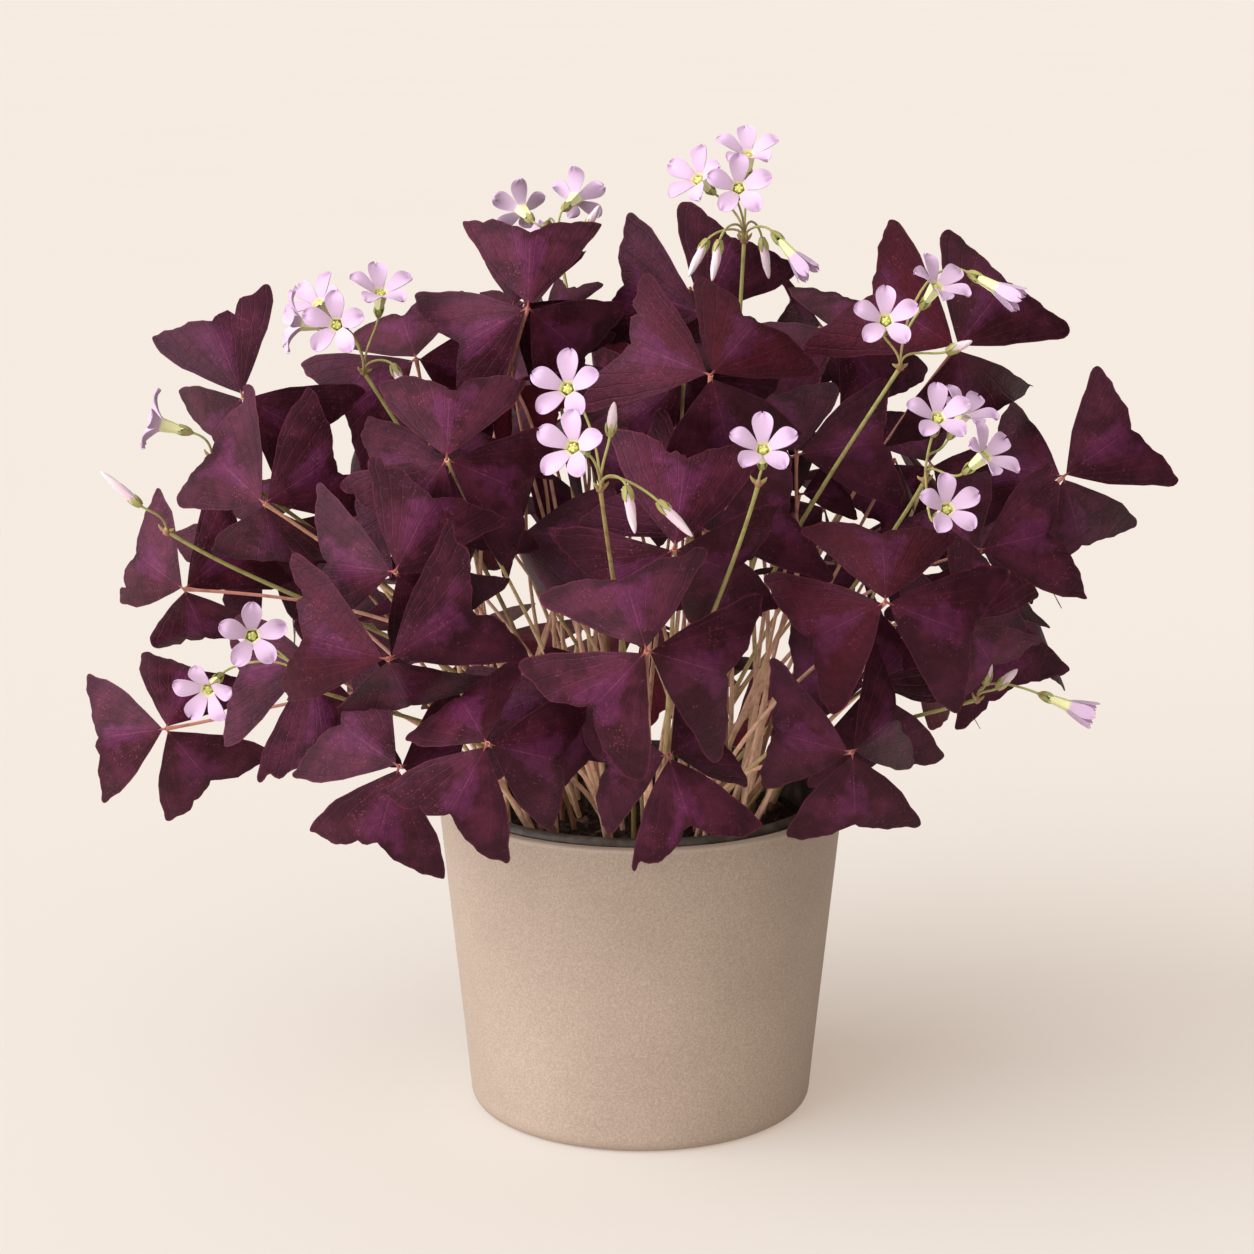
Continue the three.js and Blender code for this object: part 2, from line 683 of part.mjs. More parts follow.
// ---------------------------------------------------------------- meshes and booleans
function geometryOf(points, triangles) {
  const geometry = new THREE.BufferGeometry();
  geometry.setAttribute("position", new THREE.Float32BufferAttribute(points.flat(), 3));
  geometry.setIndex(triangles.flat());
  return geometry;
}

function solidOf(geometry) {
  const bare = geometry.clone();
  bare.deleteAttribute("normal");
  bare.deleteAttribute("uv");
  const merged = mergeVertices(bare);
  return new wasm.Manifold(
    new wasm.Mesh({
      numProp: 3,
      vertProperties: merged.attributes.position.array,
      triVerts: new Uint32Array(merged.index.array),
    }),
  );
}

function geometryOfSolid(solid) {
  const mesh = solid.getMesh();
  const geometry = new THREE.BufferGeometry();
  geometry.setAttribute("position", new THREE.BufferAttribute(mesh.vertProperties, 3));
  geometry.setIndex(new THREE.BufferAttribute(mesh.triVerts, 1));
  return geometry;
}

const joined = (solids) => solids.reduce((sum, solid) => sum.add(solid));

function tube(curve, radius, sides, steps) {
  const section = new THREE.Shape(
    Array.from({ length: sides }, (_, i) => {
      const angle = (2 * Math.PI * i) / sides;
      return new THREE.Vector2(radius * Math.cos(angle), radius * Math.sin(angle));
    }),
  );
  const extrudePath = new THREE.CubicBezierCurve3(...curve.map(vector));
  return solidOf(new THREE.ExtrudeGeometry(section, { steps, bevelEnabled: false, extrudePath }));
}

// A turned solid that stands on a place and points in a direction; its profile is [radius, height] pairs.
function turned(profile, segments, place, direction) {
  const points = profile.map(([radius, height]) => new THREE.Vector2(radius, height));
  const geometry = new THREE.LatheGeometry(points, segments);
  const turnTo = new THREE.Quaternion().setFromUnitVectors(new THREE.Vector3(0, 1, 0), vector(direction));
  geometry.applyQuaternion(turnTo);
  geometry.translate(...place);
  return solidOf(geometry);
}

const UP = [0, 0, 1];
const ORIGIN = [0, 0, 0];

// ---------------------------------------------------------------- pots and soil
function coverPot() {
  const inner = POT_TOP_RADIUS - POT_WALL;
  const innerFoot = POT_FOOT_RADIUS - POT_WALL;
  const profile = [
    [0, 0],
    [POT_FOOT_RADIUS - 4, 0],
    [POT_FOOT_RADIUS - 1.2, 1.6],
    [POT_FOOT_RADIUS + 0.3, 5.5],
    [POT_TOP_RADIUS, POT_HEIGHT - 1.4],
    [POT_TOP_RADIUS - 1.2, POT_HEIGHT],
    [inner + 1, POT_HEIGHT],
    [inner, POT_HEIGHT - 1.2],
    [innerFoot + 0.6, POT_FLOOR + 4],
    [innerFoot - 3, POT_FLOOR],
    [0, POT_FLOOR],
  ];
  return turned(profile, POT_SEGMENTS, ORIGIN, UP);
}

const linerFoot = POT_FLOOR + CLEARANCE;
const linerNeck = LINER_TOP - 6;
const linerNeckRadius = LINER_RIM_RADIUS - LINER_RIM_WIDTH + LINER_WALL;

function nurseryPot() {
  const rimInner = LINER_RIM_RADIUS - LINER_RIM_WIDTH;
  const profile = [
    [0, linerFoot],
    [LINER_FOOT_RADIUS, linerFoot],
    [linerNeckRadius, linerNeck],
    [LINER_RIM_RADIUS, linerNeck + 1.5],
    [LINER_RIM_RADIUS, LINER_TOP - 1.6],
    [LINER_RIM_RADIUS - 1.6, LINER_TOP],
    [rimInner + 1.4, LINER_TOP],
    [rimInner, LINER_TOP - 1.8],
    [linerNeckRadius - LINER_WALL, linerNeck],
    [LINER_FOOT_RADIUS - LINER_WALL, linerFoot + LINER_WALL],
    [0, linerFoot + LINER_WALL],
  ];
  let pot = turned(profile, LINER_SEGMENTS, ORIGIN, UP);
  for (let i = 0; i < DRAIN_HOLES; i++) {
    const angle = (2 * Math.PI * i) / DRAIN_HOLES;
    const reach = 0.6 * LINER_FOOT_RADIUS;
    const hole = new THREE.CylinderGeometry(DRAIN_RADIUS, DRAIN_RADIUS, 6, 8);
    hole.rotateX(Math.PI / 2);
    hole.translate(reach * Math.cos(angle), reach * Math.sin(angle), linerFoot);
    pot = pot.subtract(solidOf(hole));
  }
  return pot;
}

function soilBody() {
  const low = linerFoot + LINER_WALL + CLEARANCE;
  const lowRadius = LINER_FOOT_RADIUS - LINER_WALL - CLEARANCE;
  const share = (SOIL_TOP - low) / (linerNeck - low);
  const topRadius = lowRadius + share * (linerNeckRadius - LINER_WALL - CLEARANCE - lowRadius) - 0.4;
  const profile = [
    [0, low],
    [lowRadius - 0.6, low],
    [topRadius, SOIL_TOP],
    [0.6 * topRadius, SOIL_TOP + 0.64 * SOIL_CROWN],
    [0, SOIL_TOP + SOIL_CROWN],
  ];
  let soil = turned(profile, SOIL_SEGMENTS, ORIGIN, UP);
  for (const tuft of tufts) {
    const floor = add(tuft.crown, UP, soilHeight(tuft.crown) - HOLE_DEPTH);
    soil = soil.subtract(socket(floor, UP, CROWN_RADIUS + 1.25 * CLEARANCE, CROWN_SIDES));
  }
  for (const stalk of stalks) {
    const lean = unit(add(curvePoint(stalk.scape, 1 / SCAPE_STEPS), stalk.scape[0], -1));
    soil = soil.subtract(socket(add(stalk.scape[0], lean, -CLEARANCE), lean, SCAPE_HOLE, 4));
  }
  return soil;
}

// A plain hole from its floor up through the top of the soil.
function socket(floor, direction, radius, sides) {
  const depth = HOLE_DEPTH + 6;
  const profile = [
    [0, 0],
    [radius, 0],
    [radius, depth],
    [0, depth],
  ];
  return turned(profile, sides, floor, direction);
}

// ---------------------------------------------------------------- leaves
// The outline of a leaflet past its root, as [u, v], from its right side round to its left side.
const BLADE_CORNERS = [
  [1, 0.5],
  [1, 1],
  [0.45, 1],
  [0, 1],
  [-0.45, 1],
  [-1, 1],
  [-1, 0.5],
];
const CORNERS = BLADE_CORNERS.length;
const RIB_POINT = [0, 0.5]; // the triangles of a leaflet fan out from here

// A leaf with its petiole is one closed mesh. The leaflets meet in a small triangle at the hub, and the
// petiole's first ring is the underside of that triangle.
function leafBody(leaf) {
  const level = unit(cross(leaf.face, [0, 0, 1]));
  const upward = cross(leaf.face, level);
  const bearing = ({ rib }) => Math.atan2(dot(rib, upward), dot(rib, level));
  const leaflets = leafletsOf(leaf).sort((a, b) => bearing(a) - bearing(b));
  const bearings = leaflets.map(bearing);
  const corners = bearings.map((angle, k) => {
    const next = k === 2 ? bearings[0] + 2 * Math.PI : bearings[k + 1];
    const middle = (angle + next) / 2;
    const across = add(add([0, 0, 0], level, Math.cos(middle)), upward, Math.sin(middle));
    return add(leaf.hub, across, HUB_RADIUS);
  });
  const half = BLADE_THICKNESS / 2;
  const side = (sign) => [
    ...corners.map((corner) => add(corner, leaf.face, sign * half)),
    ...leaflets.flatMap((leaflet) =>
      [...BLADE_CORNERS, RIB_POINT].map(([u, v]) => add(leafletPoint(leaflet, u, v), leaflet.normal, sign * half)),
    ),
  ];
  const points = [...side(1), ...side(-1)];
  const under = points.length / 2;
  const triangles = [[0, 1, 2]];
  for (let k = 0; k < 3; k++) {
    const start = 3 + k * (CORNERS + 1);
    const rib = start + CORNERS;
    const outline = [(k + 2) % 3, ...BLADE_CORNERS.map((_, i) => start + i), k];
    for (let i = 0; i < outline.length; i++) {
      const a = outline[i];
      const b = outline[(i + 1) % outline.length];
      triangles.push([rib, a, b], [under + rib, under + b, under + a]);
      if (i < outline.length - 1) triangles.push([b, a, under + a], [b, under + a, under + b]);
    }
  }
  let across = unit(add(points[under], leaf.hub, -1));
  let ring = [under, under + 1, under + 2];
  for (let step = 1; step <= PETIOLE_STEPS; step++) {
    const t = 1 - step / PETIOLE_STEPS;
    const tangent = unit(add(curvePoint(leaf.route, t + 0.02), curvePoint(leaf.route, t), -1));
    across = unit(add(across, tangent, -dot(across, tangent)));
    const aside = cross(tangent, across);
    const centre = curvePoint(leaf.route, t);
    const next = [0, 1, 2].map((i) => points.length + i);
    for (let i = 0; i < 3; i++) {
      const angle = rad(120 * i);
      const spoke = add(add([0, 0, 0], across, Math.cos(angle)), aside, Math.sin(angle));
      points.push(add(centre, spoke, PETIOLE_RADIUS));
    }
    for (let i = 0; i < 3; i++) {
      const j = (i + 1) % 3;
      triangles.push([next[i], next[j], ring[j]], [next[i], ring[j], ring[i]]);
    }
    ring = next;
  }
  triangles.push([ring[0], ring[2], ring[1]]);
  return solidOf(geometryOf(points, triangles));
}

function tuftBody(tuft) {
  const foot = add(tuft.crown, UP, soilHeight(tuft.crown) - HOLE_DEPTH + CLEARANCE);
  const profile = [
    [0, 0],
    [0.7 * CROWN_RADIUS, 0],
    [CROWN_RADIUS, 0.55 * CROWN_HEIGHT],
    [0.75 * CROWN_RADIUS, CROWN_HEIGHT],
    [0, CROWN_HEIGHT],
  ];
  return joined([turned(profile, CROWN_SIDES, foot, UP), ...tuft.members.map(leafBody)]);
}

// ---------------------------------------------------------------- flowers
// A stem of few sides along a curve that swells at its end: profile is [distance past the end, radius].
function budStem(curve, facing, profile) {
  const steps = 3;
  const rings = [];
  for (let i = 0; i < steps; i++) rings.push([curvePoint(curve, i / steps), PEDICEL_RADIUS]);
  profile.forEach(([past, radius]) => rings.push([add(curve[3], facing, past), radius]));
  const points = [];
  const triangles = [];
  let across = unit(cross(facing, Math.abs(facing[2]) > 0.9 ? [1, 0, 0] : [0, 0, 1]));
  rings.forEach(([centre, radius], i) => {
    const [from] = rings[Math.max(i - 1, 0)];
    const [to] = rings[Math.min(i + 1, rings.length - 1)];
    const tangent = unit(add(to, from, -1));
    across = unit(add(across, tangent, -dot(across, tangent)));
    const aside = cross(tangent, across);
    for (let k = 0; k < STEM_SIDES; k++) {
      const angle = (2 * Math.PI * k) / STEM_SIDES;
      const spoke = add(add([0, 0, 0], across, Math.cos(angle)), aside, Math.sin(angle));
      points.push(add(centre, spoke, radius));
      if (i > 0) {
        const below = (i - 1) * STEM_SIDES;
        const [a, b] = [below + k, below + ((k + 1) % STEM_SIDES)];
        triangles.push([a, b, b + STEM_SIDES], [a, b + STEM_SIDES, a + STEM_SIDES]);
      }
    }
  });
  const last = points.length - STEM_SIDES;
  for (let k = 1; k < STEM_SIDES - 1; k++) {
    triangles.push([0, k + 1, k], [last, last + k, last + k + 1]);
  }
  return solidOf(geometryOf(points, triangles));
}

function stalkBody(stalk) {
  const calyx = [
    [0, PEDICEL_RADIUS],
    [0.6 * CALYX_LENGTH, CALYX_RADIUS],
    [CALYX_LENGTH, 0.7 * CALYX_RADIUS],
  ];
  const bud = (size) => [
    [0, PEDICEL_RADIUS],
    [0.5 * size, BUD_RADIUS],
    [size, 0.3 * BUD_RADIUS],
  ];
  const scape = tube(stalk.scape, SCAPE_RADIUS, STEM_SIDES, SCAPE_STEPS);
  const knot = new THREE.OctahedronGeometry(2);
  knot.translate(...stalk.scape[3]);
  const heads = stalk.heads.map(({ pedicel, facing }) => budStem(pedicel, facing, calyx));
  const closed = stalk.closed.map(({ pedicel, facing, length: size }) => budStem(pedicel, facing, bud(size)));
  return joined([scape, solidOf(knot), ...heads, ...closed]);
}

// A bloom is one thin funnel with a star-shaped rim, because its petals are joined at the base.
function bloomBody(head) {
  const shape = BLOOM_SHAPES[head.kind];
  const rim = bloomRim(head);
  const cutAngle = (petal) => rad((360 / PETALS) * petal + 90 - 36);
  const ring = (radius, height) =>
    Array.from({ length: PETALS }, (_, petal) => bloomPoint(head, cutAngle(petal), radius, height));
  const throatDepth = THROAT - 2;
  const inner = [
    ...rim.map(({ angle, radius, height }) => bloomPoint(head, angle, radius, height)),
    ...ring(shape.throatRadius, THROAT),
    bloomPoint(head, 0, 0, throatDepth),
  ];
  const outer = [
    ...rim.map(({ angle, radius, height }) => bloomPoint(head, angle, radius, height - PETAL_THICKNESS)),
    ...ring(shape.throatRadius + PETAL_THICKNESS, THROAT - PETAL_THICKNESS),
    ...ring(1.1, 0),
    bloomPoint(head, 0, 0, 0),
  ];
  const rimCount = rim.length;
  const perPetal = PETAL_RIM.length;
  const outerStart = inner.length;
  const triangles = [];
  for (let petal = 0; petal < PETALS; petal++) {
    const next = (petal + 1) % PETALS;
    const throat = rimCount + petal;
    const throatNext = rimCount + next;
    const first = petal * perPetal;
    const corners = [first, first + 1, first + 2, first + 3, (first + perPetal) % rimCount];
    const sheet = [
      [throat, corners[0], corners[1]],
      [throat, corners[1], corners[2]],
      [throat, corners[2], throatNext],
      [throatNext, corners[2], corners[3]],
      [throatNext, corners[3], corners[4]],
    ];
    for (const [a, b, c] of sheet) {
      triangles.push([a, b, c], [outerStart + a, outerStart + c, outerStart + b]);
    }
    triangles.push([rimCount + PETALS, throat, throatNext]);
    for (let k = 0; k < perPetal; k++) {
      const a = corners[k];
      const b = corners[k + 1];
      triangles.push([a, outerStart + a, outerStart + b], [a, outerStart + b, b]);
    }
    const foot = outerStart + rimCount + PETALS + petal;
    const footNext = outerStart + rimCount + PETALS + next;
    triangles.push([outerStart + throat, foot, outerStart + throatNext]);
    triangles.push([outerStart + throatNext, foot, footNext]);
    triangles.push([footNext, foot, outerStart + rimCount + 2 * PETALS]);
  }
  return solidOf(geometryOf([...inner, ...outer], triangles));
}

// ---------------------------------------------------------------- assembly
const finishes = {
  pot: { color: COLOURS.pot, roughness: 0.75 },
  liner: { color: COLOURS.liner, roughness: 0.5 },
  soil: { color: COLOURS.soil, roughness: 1 },
  leaf: { color: COLOURS.leaf, roughness: 0.55, side: THREE.DoubleSide },
  stalk: { color: COLOURS.stalk, roughness: 0.5 },
  petal: { color: COLOURS.petal, roughness: 0.5, side: THREE.DoubleSide },
};

const group = new THREE.Group();

function addPiece(name, solid, finish) {
  const material = new THREE.MeshStandardMaterial({ ...finish, metalness: 0 });
  const mesh = new THREE.Mesh(geometryOfSolid(solid), material);
  mesh.name = name;
  group.add(mesh);
}

const numbered = (name, number) => `${name}_${String(number).padStart(2, "0")}`;

addPiece("cover_pot", coverPot(), finishes.pot);
addPiece("nursery_pot", nurseryPot(), finishes.liner);
addPiece("soil", soilBody(), finishes.soil);
tufts.forEach((tuft) => addPiece(numbered("tuft", tuft.number), tuftBody(tuft), finishes.leaf));
stalks.forEach((stalk) => addPiece(numbered("stalk", stalk.number), stalkBody(stalk), finishes.stalk));
stalks
  .flatMap((stalk) => stalk.heads)
  .forEach((head, i) => addPiece(numbered("bloom", i + 1), bloomBody(head), finishes.petal));

export default group;
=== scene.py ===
"""Dresses a purple shamrock that stands in its nursery pot inside a stoneware cover pot.

The leaves, petioles and scapes are read from the frame's plain solids and made again as fine curved
meshes, and more leaves of the same kind fill the crown where there is room. The flowers, the pots and
the soil are made from the same sizes as the part's source. Lengths are in metres unless a docstring
says millimetres, +Z is up, and -Y is the front.
"""

import logging
import math
from dataclasses import dataclass, field
from enum import Enum
from typing import Iterable, Optional, Sequence

import bmesh
import bpy
import numpy as np
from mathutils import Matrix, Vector


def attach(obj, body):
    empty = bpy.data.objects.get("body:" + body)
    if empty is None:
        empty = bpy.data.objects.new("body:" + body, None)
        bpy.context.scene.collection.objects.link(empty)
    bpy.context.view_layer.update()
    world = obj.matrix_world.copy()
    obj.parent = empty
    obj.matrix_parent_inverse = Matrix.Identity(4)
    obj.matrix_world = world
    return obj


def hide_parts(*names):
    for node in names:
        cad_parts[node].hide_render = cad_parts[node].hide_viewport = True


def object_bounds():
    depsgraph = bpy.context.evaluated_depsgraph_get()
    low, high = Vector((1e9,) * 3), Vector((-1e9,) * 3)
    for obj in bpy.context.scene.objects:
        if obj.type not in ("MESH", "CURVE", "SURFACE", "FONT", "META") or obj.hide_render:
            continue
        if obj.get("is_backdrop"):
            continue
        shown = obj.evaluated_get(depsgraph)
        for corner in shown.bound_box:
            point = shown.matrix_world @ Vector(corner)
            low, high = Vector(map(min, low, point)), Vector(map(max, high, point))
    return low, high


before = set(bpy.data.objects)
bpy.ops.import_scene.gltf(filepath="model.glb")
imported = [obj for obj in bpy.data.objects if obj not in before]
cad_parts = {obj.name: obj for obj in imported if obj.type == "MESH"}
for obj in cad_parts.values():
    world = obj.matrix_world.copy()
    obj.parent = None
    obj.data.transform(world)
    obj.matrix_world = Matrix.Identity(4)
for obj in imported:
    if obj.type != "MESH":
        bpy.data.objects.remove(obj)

Array = np.ndarray
Colour = tuple[float, float, float]
Draws = np.random.Generator
Material = bpy.types.Material
Node = bpy.types.Node
Piece = bpy.types.Object
Socket = bpy.types.NodeSocket
Tree = bpy.types.NodeTree

MM = 0.001
UP = np.array([0.0, 0.0, 1.0])
BODY = "root"
EYE_PITCH = math.radians(13)
WELD = 2e-6
SAME_PLACE = 1e-7
LOG = logging.getLogger("purple_shamrock")


class Slot(Enum):
    """The pieces' material slots."""

    STONEWARE = "stoneware"
    PLASTIC = "plastic"
    SOIL = "soil"
    LEAF = "leaf"
    STALK = "stalk"
    PETAL = "petal"


class BloomKind(Enum):
    """How far a bloom has opened."""

    OPEN = "open"
    HALF = "half"


# ------------------------------------------------------------------ vectors and curves
def unit(vector: Array) -> Array:
    """Returns the vector scaled to length 1."""
    return vector / np.linalg.norm(vector)


def vec(values: Sequence[float], scale: float = MM) -> Array:
    """Returns a place given in millimetres as an array in metres."""
    return np.array(values, float) * scale


def seen(clock: float, lean: float) -> Array:
    """Gives a direction as an eye in front of the plant, 13 degrees above level, sees it.

    Args:
        clock: Degrees clockwise from up.
        lean: Degrees away from the eye.

    Returns:
        The direction, of length 1.
    """
    turn, tip = math.radians(clock), math.radians(lean)
    across = math.cos(tip) * math.sin(turn)
    away = math.sin(tip)
    up = math.cos(tip) * math.cos(turn)
    cos_pitch, sin_pitch = math.cos(EYE_PITCH), math.sin(EYE_PITCH)
    return np.array([across, away * cos_pitch + up * sin_pitch, up * cos_pitch - away * sin_pitch])


def cubic(points: Sequence[Array], count: int) -> Array:
    """Samples a cubic curve.

    Args:
        points: The curve's four control points.
        count: How many steps to take along it.

    Returns:
        count + 1 points from its start to its end.
    """
    t = np.linspace(0, 1, count + 1)[:, None]
    s = 1 - t
    return s**3 * points[0] + 3 * s**2 * t * points[1] + 3 * s * t**2 * points[2] + t**3 * points[3]


def fit_cubic(points: Sequence[Array], places: Sequence[float]) -> list[Array]:
    """Fits a cubic curve to points.

    Args:
        points: Points on the curve, four or more.
        places: How far along the curve each lies, 0 to 1.

    Returns:
        The curve's four control points.
    """
    t = np.array(places)
    s = 1 - t
    weights = np.stack([s**3, 3 * s**2 * t, 3 * s * t**2, t**3], axis=1)
    return list(np.linalg.lstsq(weights, np.array(points), rcond=None)[0])


def pedicel_curve(start: Array, end: Array, facing: Array) -> list[Array]:
    """Gives the arch of a pedicel from the flower head to a calyx that faces a way."""
    span = np.linalg.norm(end - start)
    return [start, start + UP * 0.45 * span, end - facing * 0.35 * span, end]


def blend_step(value: Array, low: float, high: float) -> Array:
    """Rises smoothly from 0 at low to 1 at high."""
    share = np.clip((value - low) / (high - low), 0, 1)
    return share * share * (3 - 2 * share)


# ------------------------------------------------------------------ meshes
def welded(mesh: bpy.types.Mesh) -> bmesh.types.BMesh:
    """Returns a plain solid's mesh with its coinciding points merged, to be looked up by number."""
    work = bmesh.new()
    work.from_mesh(mesh)
    bmesh.ops.remove_doubles(work, verts=work.verts, dist=WELD)
    work.verts.ensure_lookup_table()
    return work


def follow_rings(work: bmesh.types.BMesh, ring: set[int], passed: set[int], steps: int) -> list[Array]:
    """Follows a thin stem from ring to ring, each of three points.

    Args:
        work: The solid that holds the stem.
        ring: The numbers of the points to start from.
        passed: The numbers of other points that the way doesn't lead to.
        steps: How many rings to follow at most.

    Returns:
        The middles of the rings after the first.
    """
    middles = []
    for _ in range(steps):
        near = {edge.other_vert(work.verts[i]).index for i in ring for edge in work.verts[i].link_edges}
        near -= passed | ring
        if len(near) != 3:
            break
        middles.append(np.mean([work.verts[i].co for i in near], axis=0))
        passed, ring = passed | ring, near
    return middles


def grid_quads(first: int, rows: int, columns: int) -> list[tuple[int, ...]]:
    """Returns the faces of a grid of points whose first point has a number."""
    starts = [first + i * columns + j for i in range(rows - 1) for j in range(columns - 1)]
    return [(a, a + 1, a + columns + 1, a + columns) for a in starts]


def grid_rim(rows: int, columns: int) -> list[int]:
    """Returns a grid's border, from its first row's first point round to that row's last point."""
    rim = [i * columns for i in range(rows)]
    rim += [(rows - 1) * columns + j for j in range(1, columns)]
    return rim + [i * columns + columns - 1 for i in range(rows - 2, -1, -1)]


@dataclass
class Draft:
    """Gathers points, faces and a place value at each point, and makes one object of them.

    A place is three numbers that the materials read: across, along, and a tone drawn for the piece.
    """

    name: str
    points: list[Array] = field(default_factory=list)
    places: list[Array] = field(default_factory=list)
    faces: list[tuple[int, ...]] = field(default_factory=list)
    finishes: list[int] = field(default_factory=list)
    count: int = 0

    def add(self, points: Array, places: Array) -> int:
        """Adds points with their places.

        Args:
            points: An n by 3 array.
            places: An n by 3 array.

        Returns:
            The first new point's number.
        """
        first = self.count
        self.points.append(np.asarray(points, float).reshape(-1, 3))
        self.places.append(np.asarray(places, float).reshape(-1, 3))
        self.count += len(self.points[-1])
        return first

    def cover(self, faces: Iterable[tuple[int, ...]], finish: int = 0) -> None:
        """Adds faces that take the finish with a number."""
        new = list(faces)
        self.faces += new
        self.finishes += [finish] * len(new)

    def wrap(self, first: int, rings: int, sides: int, caps: tuple[int, int], finish: int = 0) -> None:
        """Covers rings of points, and closes the first and the last with a fan.

        Args:
            first: The number of the first ring's first point.
            rings: How many rings there are.
            sides: How many points a ring has.
            caps: The numbers of the two fans' middle points.
            finish: The number of the finish.
        """
        steps = [(k, (k + 1) % sides) for k in range(sides)]
        last = first + (rings - 1) * sides
        faces = []
        for low in range(first, last, sides):
            faces += [(low + k, low + after, low + after + sides, low + k + sides) for k, after in steps]
        for k, after in steps:
            faces.append((caps[0], first + after, first + k))
            faces.append((caps[1], last + k, last + after))
        self.cover(faces, finish)

    def tube(self, line: Array, radii: Array, tone: float, sides: int = 8, finish: int = 0) -> None:
        """Adds a round closed tube along a line.

        Args:
            line: The points of the line.
            radii: The tube's radius at each point.
            tone: The tone that the tube's places hold.
            sides: How many sides it has.
            finish: The number of its finish.
        """
        steps = len(line)
        tangents = np.gradient(line, axis=0)
        tangents /= np.linalg.norm(tangents, axis=1)[:, None]
        helper = np.array([1.0, 0, 0]) if abs(tangents[0][0]) < 0.8 else np.array([0, 1.0, 0])
        across = unit(np.cross(tangents[0], helper))
        angles = np.linspace(0, 2 * math.pi, sides, endpoint=False)
        rings = []
        for i in range(steps):
            across = unit(across - tangents[i] * np.dot(across, tangents[i]))
            aside = np.cross(tangents[i], across)
            spokes = np.cos(angles)[:, None] * across + np.sin(angles)[:, None] * aside
            rings.append(line[i] + spokes * radii[i])
        along = np.repeat(np.linspace(0, 1, steps), sides)
        around = np.tile(angles / (2 * math.pi), steps)
        places = np.stack([around, along, np.full(steps * sides, tone)], axis=1)
        first = self.add(np.concatenate(rings), places)
        start = self.add(line[0], [0, 0, tone])
        end = self.add(line[-1], [0, 1, tone])
        self.wrap(first, steps, sides, (start, end), finish)

    def sheet(self, top: Array, under: Array, places: Array, finish: int = 0) -> None:
        """Adds a thin closed sheet between two grids of the same size.

        Args:
            top: A rows by columns by 3 array, whose rows run along and columns from right to left.
            under: The same for the other side.
            places: The same for the places of both.
            finish: The number of its finish.
        """
        rows, columns = top.shape[:2]
        first = self.add(top, places)
        second = self.add(under, places)
        rim = grid_rim(rows, columns) + list(range(columns - 2, 0, -1))
        self.cover(grid_quads(first, rows, columns), finish)
        self.cover([face[::-1] for face in grid_quads(second, rows, columns)], finish)
        edge = [(first + a, first + b, second + b, second + a) for a, b in zip(rim, rim[1:] + rim[:1])]
        self.cover(edge, finish)

    def lump(self, centre: Array, radii: Array, tone: float, noise: Array, finish: int = 0) -> None:
        """Adds a small closed lump.

        Args:
            centre: Its middle.
            radii: Its half sizes along the axes.
            tone: The tone that its places hold.
            noise: Twelve factors, one for each corner, that make it uneven.
            finish: The number of its finish.
        """
        golden = (1 + math.sqrt(5)) / 2
        corners = []
        for i in (-1, 1):
            for j in (-golden, golden):
                corners += [(0, i, j), (i, j, 0), (j, 0, i)]
        shape = np.array(corners) / math.sqrt(1 + golden**2) * np.asarray(noise)[:, None]
        places = np.stack([shape[:, 0], shape[:, 2], np.full(12, tone)], axis=1)
        first = self.add(centre + shape * radii, places)
        bare = bmesh.new()
        bmesh.ops.convex_hull(bare, input=[bare.verts.new(tuple(point)) for point in shape])
        bare.verts.index_update()
        self.cover([tuple(first + vert.index for vert in face.verts) for face in bare.faces], finish)
        bare.free()

    def build(self, finishes: Sequence[Material], crease: float = 50.0) -> Piece:
        """Makes the object.

        Args:
            finishes: The materials in the order of the finish numbers.
            crease: Edges sharper than this many degrees stay sharp.

        Returns:
            The new object, linked to the scene.
        """
        mesh = bpy.data.meshes.new(self.name)
        mesh.from_pydata(np.concatenate(self.points).tolist(), [], self.faces)
        attribute = mesh.attributes.new("place", "FLOAT_VECTOR", "POINT")
        attribute.data.foreach_set("vector", np.concatenate(self.places).astype(np.float32).ravel())
        for finish in finishes:
            mesh.materials.append(finish)
        mesh.polygons.foreach_set("material_index", self.finishes)
        tidy_mesh(mesh)
        mesh.shade_smooth()
        mesh.set_sharp_from_angle(angle=math.radians(crease))
        return placed(self.name, mesh)


def placed(name: str, data: bpy.types.ID) -> Piece:
    """Returns a new object of a mesh, light or camera, linked to the scene."""
    new = bpy.data.objects.new(name, data)
    bpy.context.scene.collection.objects.link(new)
    return new


def tidy_mesh(mesh: bpy.types.Mesh) -> None:
    """Merges points that coincide, drops faces with no area and turns all faces outward."""
    work = bmesh.new()
    work.from_mesh(mesh)
    bmesh.ops.remove_doubles(work, verts=work.verts, dist=SAME_PLACE)
    bmesh.ops.dissolve_degenerate(work, edges=work.edges, dist=SAME_PLACE)
    bmesh.ops.recalc_face_normals(work, faces=work.faces)
    work.to_mesh(mesh)
    work.free()


def settle(piece: Piece, slot: Slot, *nodes: str) -> Piece:
    """Seats a piece on the body, hides the CAD nodes that it takes the place of, and logs its triangles and
    slot.
    """
    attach(piece, BODY)
    if nodes:
        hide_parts(*nodes)
    triangles = sum(len(face.vertices) - 2 for face in piece.data.polygons)
    LOG.info("%s: %d triangles, slot %s", piece.name, triangles, slot.value)
    return piece


